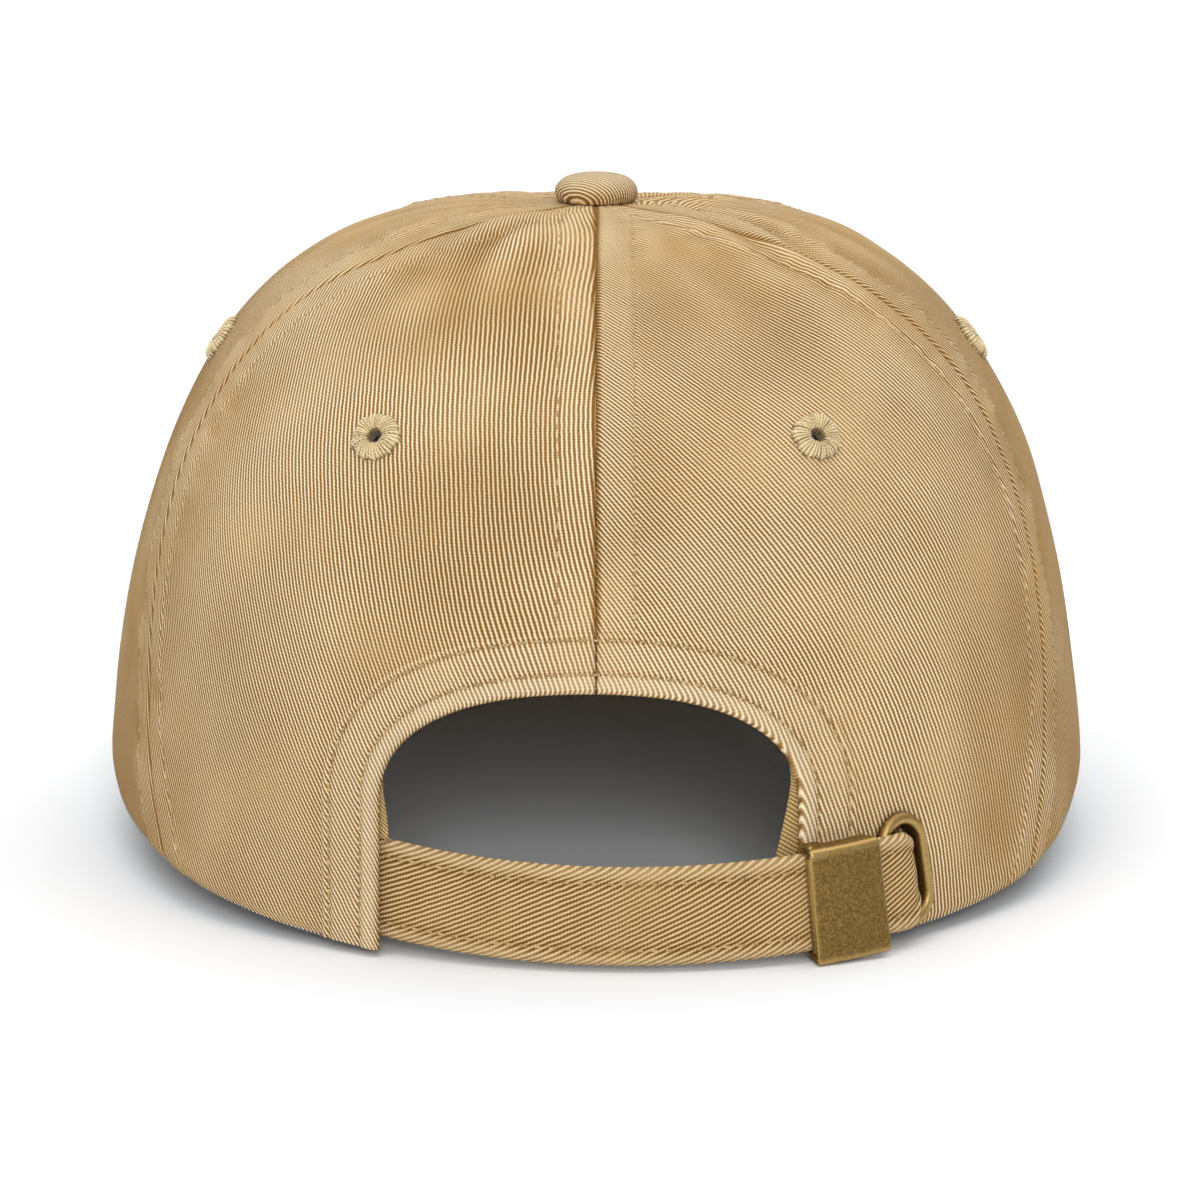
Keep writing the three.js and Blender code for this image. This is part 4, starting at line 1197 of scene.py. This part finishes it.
def visor_plan(u, v):
    """The visor's plan: u from its right corner to its left one, v from the head outwards."""
    side = np.where(u < 0.5, 1.0, -1.0)
    t = np.where(u < 0.5, 2 * u, 2 - 2 * u)
    a, b, c, d = VISOR_SIDE
    ox, oy = cubic(t, a[0], b[0], c[0], d[0]), cubic(t, a[1], b[1], c[1], d[1])
    azimuth = VISOR_CORNER + (math.pi / 2 - VISOR_CORNER) * t
    reach = crown_radius(azimuth) - VISOR_MARGIN
    ix, iy = reach * np.cos(azimuth), reach * np.sin(azimuth)
    length = np.hypot(ox - ix, oy - iy)
    return side * (ix + (ox - ix) * v), iy + (oy - iy) * v, length


def visor_relief(distance, x, y):
    """How far the cover stands out: a groove under each row of stitches, and soft waves."""
    groove = sum(-0.22 * hump(distance, row, 0.9) for row in VISOR_ROWS)
    return groove + 0.12 * noise(x / 9, y / 9, seed=31)


def visor_cover(name, low, node):
    """One cloth of the visor, rolled round its outer edge and both ends."""
    columns, rows = 190, 76
    up, u = shares(columns, rows)
    v = 1 - (1 - up) ** 1.35
    x, y, length = visor_plan(u, v)
    distance = length * (1 - v)
    half = VISOR_THICKNESS / 2
    ends = [np.hypot(x - x[:, k], y - y[:, k]) for k in (slice(0, 1), slice(-1, None))]
    edge = np.minimum(distance, np.minimum(*ends))
    near = 1 - np.clip(edge / VISOR_ROLL, 0, 1)
    roll = half * circle_edge(edge, VISOR_ROLL)
    stand = visor_relief(distance, x, y) * (1 - near)
    middle = visor_top(x, y) - half
    way = -1 if low else 1
    outer = middle + way * (half - roll + stand)
    inner = middle + way * np.maximum(half - VISOR_CLOTH - roll * 0.4, 0.02)
    outer, inner = (np.stack([x, y, z], -1).reshape(-1, 3) for z in (outer, inner))
    uv = wale_uv(x.ravel(), y.ravel(), math.radians(-30 if low else 45))
    faces = grid_faces(columns, rows, flip=not low)
    piece = add_slab(name, outer, inner, faces, TWILL, uv, (2.2 * stand + 0.5 * near).ravel())
    finish(piece, "cap", "twill", node)


def visor_stitches():
    rows = []
    for distance in VISOR_ROWS:
        u = np.linspace(0.02, 0.98, 300)
        length = visor_plan(u, np.float64(1))[2]
        keep = length > distance + VISOR_MARGIN + 2
        u, length = u[keep], length[keep]
        x, y, _ = visor_plan(u, 1 - distance / length)
        z = visor_top(x, y) + visor_relief(distance + 0 * x, x, y)
        normal = unit(np.stack([2 * VISOR_TROUGH * x, 0 * x + VISOR_DROOP, 0 * x + 1], -1))
        rows.append((np.stack([x, y, z], -1), normal))
        low = visor_top(x, y) - VISOR_THICKNESS - visor_relief(distance + 0 * x, x, y)
        rows.append((np.stack([x, y, low], -1), -normal))
    add_stitches("visor_stitching", rows, length=3.1, gap=0.5)


def visor():
    visor_cover("visor_cloth_top", False, "visor_cover_top")
    visor_cover("visor_cloth_bottom", True, "visor_cover_bottom")
    visor_stitches()
    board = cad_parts["visor_board"]
    board.data.materials.clear()
    board.data.materials.append(BOARD)


# ---------- Closure: strap, loop, buckle and slot ring ----------


def closure_point(angle, offset, height):
    """A place on the closure's cone, in the crown frame. angle is in degrees."""
    angle, offset, height = np.broadcast_arrays(
        np.asarray(angle, float), np.asarray(offset, float), np.asarray(height, float))
    radius = CONE_RADIUS - CONE_SLOPE * height + offset
    x = CONE_CENTRE[0] + radius * np.cos(np.radians(angle))
    y = CONE_CENTRE[1] + radius * np.sin(np.radians(angle))
    c, s = math.cos(RIM_TILT), math.sin(RIM_TILT)
    return np.stack([x, y * c - height * s, y * s + height * c + rim_plane(0)], -1)


def degrees_along(length):
    return math.degrees(length / CONE_RADIUS)


def smooth_path(knots, count):
    """Evenly spaced points on a smooth curve through knots of (angle, offset)."""
    knots = np.array(knots, float) * [math.radians(1) * CONE_RADIUS, 1]
    chord = np.sqrt(np.linalg.norm(np.diff(knots, axis=0), axis=1))
    place = np.concatenate([[0], np.cumsum(chord)])
    slope = np.gradient(knots, place, axis=0)
    fine = np.linspace(0, place[-1], 1500)
    k = np.clip(np.searchsorted(place, fine, side="right") - 1, 0, len(knots) - 2)
    span = place[k + 1] - place[k]
    t = ((fine - place[k]) / span)[:, None]
    span = span[:, None]
    curve = (
        (2 * t**3 - 3 * t**2 + 1) * knots[k] + (t**3 - 2 * t**2 + t) * span * slope[k]
        + (-2 * t**3 + 3 * t**2) * knots[k + 1] + (t**3 - t**2) * span * slope[k + 1]
    )
    travel = np.concatenate([[0], np.cumsum(np.linalg.norm(np.diff(curve, axis=0), axis=1))])
    even = np.linspace(0, travel[-1], count)
    return np.stack([np.interp(even, travel, curve[:, a]) for a in range(2)], 1), even


STRAP_KNOTS = (
    (-128, 0.8), (-125, 0.3), (-122.5, 0), (-110, 0), (-95, 0), (-80, 0), (-70, 0), (-60, 0), (-57.5, 0.1),
    (-55.8, 0.5), (-54, 0.7), (-52.4, 0.4), (-51.4, -0.7), (-50.85, -2.4), (-50.4, -4.4), (-49.4, -5.8),
    (-47.5, -6.3), (-35, -6),
)
LOOP_KNOTS = (
    (-58.5, -4.45), (-62, -4.45), (-67, -4.4), (-68.7, -4.1), (-69.35, -3.1), (-68.7, -2.05),
    (-67, -1.87), (-63, -1.85), (-58.4, -1.85), (-57.4, -1.6), (-57.15, -1.05),
)


def strap_limits(angle, trims):
    """The strap's foot and top at an angle; the tail is gathered to pass the slot."""
    if not trims:
        return 4.0 + 0 * angle, 14.0 + 0 * angle
    gather = smoothstep(angle, -53.4, -50.9)
    return STRAP_FOOT + (4.2 - STRAP_FOOT) * gather, STRAP_TOP + (15.4 - STRAP_TOP) * gather


def webbing(name, knots, count, thickness, strap):
    """A flat band along a smooth path: the strap with its stitched edges, or the plain loop."""
    path, travel = smooth_path(knots, count)
    scale = math.radians(1) * CONE_RADIUS
    tangent = unit(np.gradient(path, axis=0))
    side = np.stack([-tangent[:, 1], tangent[:, 0]], 1)
    foot, top = strap_limits(path[:, 0] / scale, strap)
    section = [(k / 22 if face > 0 else 1 - k / 22, face) for face in (1, -1) for k in range(23)]
    points, uv, shade = [], [], []
    for share, face in section:
        height = foot + (top - foot) * share
        edge = np.minimum(share, 1 - share) * (top - foot)
        body = thickness / 2 * np.sqrt(np.maximum(1 - (1 - np.clip(edge / 0.9, 0, 1)) ** 2, 0.02))
        stand = np.zeros(count)
        if strap:
            stand = -0.2 * hump(edge, STRAP_STITCH, 0.55) + 0.14 * hump(edge, 1.3, 0.9)
            stand = stand + 0.05 * noise(travel / 2.4, edge / 2, seed=41)
        place = path + side * (face * (body + stand))[:, None]
        points.append(closure_point(place[:, 0] / scale, place[:, 1], height))
        uv.append(wale_uv(travel, height + 0 * travel, math.radians(-65)))
        shade.append(np.clip(2.6 * stand + 0.7 * (1 - smoothstep(edge, 0.9, 2.1)), -1, 1))
    return loft(name, points, STRAP_TWILL, uv, shade)


def strap_stitch_rows():
    path, _ = smooth_path(STRAP_KNOTS, 400)
    scale = math.radians(1) * CONE_RADIUS
    angle, offset = path[:, 0] / scale, path[:, 1]
    keep = (angle > -127) & (angle < -54.5)
    angle, offset = angle[keep], offset[keep]
    rows = []
    for height in (STRAP_FOOT + STRAP_STITCH, STRAP_TOP - STRAP_STITCH):
        face = offset + STRAP_THICKNESS / 2 - 0.16
        place = closure_point(angle, face, height)
        normal = closure_point(angle, face + 1, height) - place
        rows.append((place, unit(normal)))
        back = offset - STRAP_THICKNESS / 2 + 0.16
        rows.append((closure_point(angle, back, height), -normal))
    return rows


def strap_and_loop():
    strap = webbing("strap_cloth", STRAP_KNOTS, 210, STRAP_THICKNESS, True)
    finish(strap, "cap", "twill", "strap")
    loop = webbing("buckle_loop_cloth", LOOP_KNOTS, 70, 0.5, False)
    leg, bar = closure_point(-69, -2, 9), closure_point(-58.5, -1.85, 9)
    tuple(to_row(leg))
    tuple(to_row(bar))
    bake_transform(loop)
    finish(loop, None, "twill", "buckle_loop")
    add_stitches("strap_stitching", strap_stitch_rows(), length=2.1, gap=0.3)


def channel(name, start, end, columns, profile, thickness, body, slot, *nodes):
    """Sheet metal bent to a channel: profile(share) gives (offset, height) round its outer
    face, and the sheet lies inside it."""
    count = 72
    share = np.linspace(0, 1, count + 1)
    angle = np.linspace(start, end, columns + 1)
    points_out, points_in, shade = [], [], []
    for k, a in enumerate(angle):
        along = k / columns
        line = profile(share, along)
        slope = np.gradient(line, axis=0)
        slope /= np.maximum(np.linalg.norm(slope, axis=1, keepdims=True), 1e-9)
        inward = np.stack([-slope[:, 1], slope[:, 0]], 1)
        ends = 1 - np.clip(np.minimum(along, 1 - along) * (end - start) * 1.37 / 0.28, 0, 1)
        soft = thickness / 2 * (1 - math.sqrt(max(1 - ends**2, 0)))
        lip = 1 - np.clip(np.minimum(share, 1 - share) * 26 / 0.28, 0, 1)
        soft = soft + thickness / 2 * (1 - np.sqrt(np.maximum(1 - lip**2, 0)))
        soft = np.minimum(soft, thickness / 2 * 0.9)[:, None]
        outer, inner = line + inward * soft, line + inward * (thickness - soft)
        points_out.append(closure_point(a, outer[:, 0], outer[:, 1]))
        points_in.append(closure_point(a, inner[:, 0], inner[:, 1]))
        # Brighter at the ends, the lips and the bends: partly worn brass, partly a painted highlight.
        bend = np.linalg.norm(np.gradient(slope, axis=0), axis=1)
        shade.append(np.clip(1.1 * ends + 0.9 * lip + 2.4 * bend, 0, 1))
    outer = np.stack(points_out, 0).reshape(-1, 3)
    inner = np.stack(points_in, 0).reshape(-1, 3)
    tone = np.stack(shade, 0).ravel()
    faces = close_slab(grid_faces(count, columns), len(outer))
    piece = add_mesh(name, np.vstack([outer, inner]), faces, BRASS, shade=np.hstack([tone, 0.4 * tone]))
    return finish(piece, body, slot, *nodes)


def rounded_channel(low, high, deep, proud, radius):
    """The outer line of a channel: up one flange, across the face and down the other."""

    def line(share, depth):
        flange = proud - depth - radius
        face = high - low - 2 * radius
        bend = math.pi / 2 * radius
        travel = share * (2 * flange + 2 * bend + face)
        a, b, c, d = flange, flange + bend, flange + bend + face, flange + 2 * bend + face
        turn1 = np.clip((travel - a) / radius, 0, math.pi / 2)
        turn2 = np.clip((travel - c) / radius, 0, math.pi / 2)
        offset = depth + np.minimum(travel, a) + radius * np.sin(turn1)
        height = low + radius * (1 - np.cos(turn1)) + np.clip(travel - b, 0, face)
        height = height + radius * np.sin(turn2)
        offset = offset - radius * (1 - np.cos(turn2)) - np.maximum(travel - d, 0)
        return np.stack([offset, height], 1)

    return lambda share, along: line(share, deep(along))


def buckle_cover():
    """The folding cover: deeper flanges beside the pin, and a face that bellies a little."""
    def deep(along):
        near_pin = 1 - float(smoothstep(along, 0.2, 0.34))
        return 1.5 - 2.3 * near_pin

    outline = rounded_channel(COVER_FOOT, COVER_TOP, deep, 3.5, 0.9)

    def bellied(share, along):
        line = outline(share, along)
        belly = 0.12 * math.sin(math.pi * along)
        return line - np.stack([0 * share + 0.12 - belly, 0 * share], 1) * hump(share, 0.5, 0.3)[:, None]

    start = PIN_ANGLE - degrees_along(0.7)
    channel("buckle_cover", start, BUCKLE_END, 40, bellied, 0.5, "lever", "brass", "buckle_lever")
    piece = round_bar("buckle_cam", 0.95, STRAP_FOOT + 0.1, STRAP_TOP - 0.1, 0.2)
    finish(piece, "lever", "brass")


def buckle_base():
    def flipped(share, along):
        """Ears rise from the base towards the cover, tall beside the pin."""
        tall = 1 - float(smoothstep(along, 0.16, 0.42))
        reach = 0.35 + 3.2 * tall
        line = rounded_channel(EAR_FOOT, EAR_TOP, lambda _: -reach, 1.4, 0.35)(share, along)
        return line * [-1, 1]

    def mirrored(share, along):
        return flipped(1 - share, along)

    start = PIN_ANGLE - degrees_along(0.95)
    channel("buckle_base", start, BUCKLE_END, 40, mirrored, 0.45, "buckle", "brass", "buckle_frame")


def round_bar(name, radius, low, high, dome):
    """A bar along the hinge pin's line with softly domed ends."""
    foot, head = closure_point(PIN_ANGLE, PIN_OFFSET, low), closure_point(PIN_ANGLE, PIN_OFFSET, high)
    along = head - foot
    length = np.linalg.norm(along)
    along /= length
    side = np.cross(along, [0, 1, 0])
    side /= np.linalg.norm(side)
    other = np.cross(along, side)
    profile = [(0, 0)]
    for k in range(1, 5):
        angle = math.pi / 2 * k / 4
        profile.append((radius * math.sin(angle), dome * (1 - math.cos(angle))))
    for k in range(0, 5):
        angle = math.pi / 2 * k / 4
        profile.append((radius * math.cos(angle), length - dome * (1 - math.sin(angle))))
    profile[-1] = (0, length)

    def place(points):
        return foot + points[:, :1] * side + points[:, 1:2] * other + points[:, 2:] * along

    return turned(name, profile, 28, BRASS, lambda p: 0.8 * hump(p[:, 2], length, 0.5), place)


def slot_centres():
    """Places down the middle of the slot, where the panel is cut away."""
    heights = np.linspace(RING_FOOT + 4.1, RING_TOP - 4.1, 8)
    return [closure_point(RING_ANGLE + turn, WALL_OFFSET, h) for h in heights for turn in (-1.0, 0.0, 1.0)]


def slot_line(distance, count):
    """A stadium round the slot: (millimetres along, height)."""
    half = RING_HALF - RING_WIRE + distance
    low, high = RING_FOOT + RING_HALF, RING_TOP - RING_HALF
    straight, bend = high - low, math.pi * half
    travel = np.linspace(0, 2 * (straight + bend), count, endpoint=False)
    out = []
    for s in travel:
        if s < bend:
            a = s / half
            out.append((half * math.cos(a), high + half * math.sin(a)))
        elif s < bend + straight:
            out.append((-half, high - (s - bend)))
        elif s < 2 * bend + straight:
            a = (s - bend - straight) / half
            out.append((-half * math.cos(a), low - half * math.sin(a)))
        else:
            out.append((half, low + s - 2 * bend - straight))
    return np.array(out)


def ring_about_slot(name, section, node):
    """A ring about the slot from a closed section of (distance out, height off the panel)."""
    count = 170
    points, shade = [], []
    for distance, rise in section:
        line = slot_line(distance, count)
        angle = RING_ANGLE + np.degrees(line[:, 0] / CONE_RADIUS)
        points.append(closure_point(angle, WALL_OFFSET + rise, line[:, 1]))
        # Brighter on the wire's crest: partly worn brass, partly a painted highlight.
        shade.append(np.full(count, 0.7 * float(smoothstep(rise, 1.0, 2.0))))
    return finish(loft(name, points, BRASS, None, shade, closed=True, flip=False), "cap", "brass", node)


def slot_rings():
    wire = RING_WIRE / 2
    front = []
    for angle in np.radians(np.linspace(-100, 180, 18)):
        front.append((wire + wire * math.cos(angle), 0.97 + 0.98 * math.sin(angle)))
    front += [(0.0, -2.4), (0.5, -2.4), (0.5, 0.1)]
    ring_about_slot("slot_wire", front, "slot_ring")
    back = [(1.42 + 0.58 * math.cos(a), -2.06 + 0.22 * math.sin(a)) for a in np.linspace(0, 2 * math.pi, 16, False)]
    ring_about_slot("slot_backing", back, "slot_washer")


def closure():
    strap_and_loop()
    buckle_base()
    buckle_cover()
    pin = round_bar("buckle_pin", 0.55, COVER_FOOT + 0.05, COVER_TOP + 0.3, 0.35)
    finish(pin, "buckle", "brass", "buckle_hinge_pin")
    slot_rings()


# ---------- Floor, light and camera ----------

CAMERA_TARGET = (0.64, 0.0, 40.6)  # crown frame, millimetres
CAMERA_DISTANCE = 900.0
CAMERA_ELEVATION = math.radians(12.04)
CAMERA_LENS = 148.24


def studio():
    scene = bpy.context.scene
    scene.view_settings.view_transform = "Standard"
    scene.view_settings.look = "None"
    mesh = bpy.data.meshes.new("floor")
    sides = ((-1, -1), (1, -1), (1, 1), (-1, 1))
    mesh.from_pydata([(40.0 * x, 40.0 * y, CAD_BOX[0].z) for x, y in sides], [], [(0, 1, 2, 3)])
    floor = bpy.data.objects.new("floor", mesh)
    scene.collection.objects.link(floor)
    n = Nodes("floor")
    n.shader.inputs["Base Color"].default_value = (0.94, 0.955, 0.975, 1)
    n.shader.inputs["Roughness"].default_value = 0.9
    n.shader.inputs["Specular IOR Level"].default_value = 0.0
    mesh.materials.append(n.material)

    world = bpy.data.worlds.new("studio")
    scene.world = world
    world.use_nodes = True
    nodes, links = world.node_tree.nodes, world.node_tree.links
    background = nodes["Background"]
    background.inputs["Color"].default_value = (1, 1, 1, 1)
    seen = nodes.new("ShaderNodeLightPath").outputs["Is Camera Ray"]
    strength = nodes.new("ShaderNodeMapRange")
    strength.inputs["To Min"].default_value = 0.36
    strength.inputs["To Max"].default_value = 1.0
    links.new(seen, strength.inputs["Value"])
    links.new(strength.outputs[0], background.inputs["Strength"])

    soft_light("key", (-0.4, -1.0, 1.5), 0.8, 55)
    soft_light("top", (0.1, 0.35, 1.0), 1.5, 70)
    soft_light("low", (0.05, -1.0, 0.42), 1.15, 20)


def soft_light(name, direction, power, spread):
    """A distant soft source, shining from a direction over a spread in degrees."""
    light = bpy.data.lights.new(name, "SUN")
    light.energy = power
    light.angle = math.radians(spread)
    lamp = bpy.data.objects.new(name, light)
    bpy.context.scene.collection.objects.link(lamp)
    lamp.rotation_euler = (-Vector(direction)).to_track_quat("-Z", "Y").to_euler()


def camera():
    data = bpy.data.cameras.new("camera")
    data.lens = CAMERA_LENS
    data.sensor_width = 36
    eye = bpy.data.objects.new("camera", data)
    bpy.context.scene.collection.objects.link(eye)
    target = Vector(to_row(CAMERA_TARGET))
    back = Vector((0, -math.cos(CAMERA_ELEVATION), math.sin(CAMERA_ELEVATION)))
    eye.location = target + back * CAMERA_DISTANCE * MM
    eye.rotation_euler = (-back).to_track_quat("-Z", "Y").to_euler()
    bpy.context.scene.camera = eye


# ---------- The cap ----------

crown()
add_stitches("crown_stitching", crown_stitch_rows())
add_stitches("arch_stitching", arch_rows())
arch_hems()
eyelets()
button()
rivet()
sweatband()
seam_tapes()
facing()
care_label()
visor()
closure()
studio()
camera()
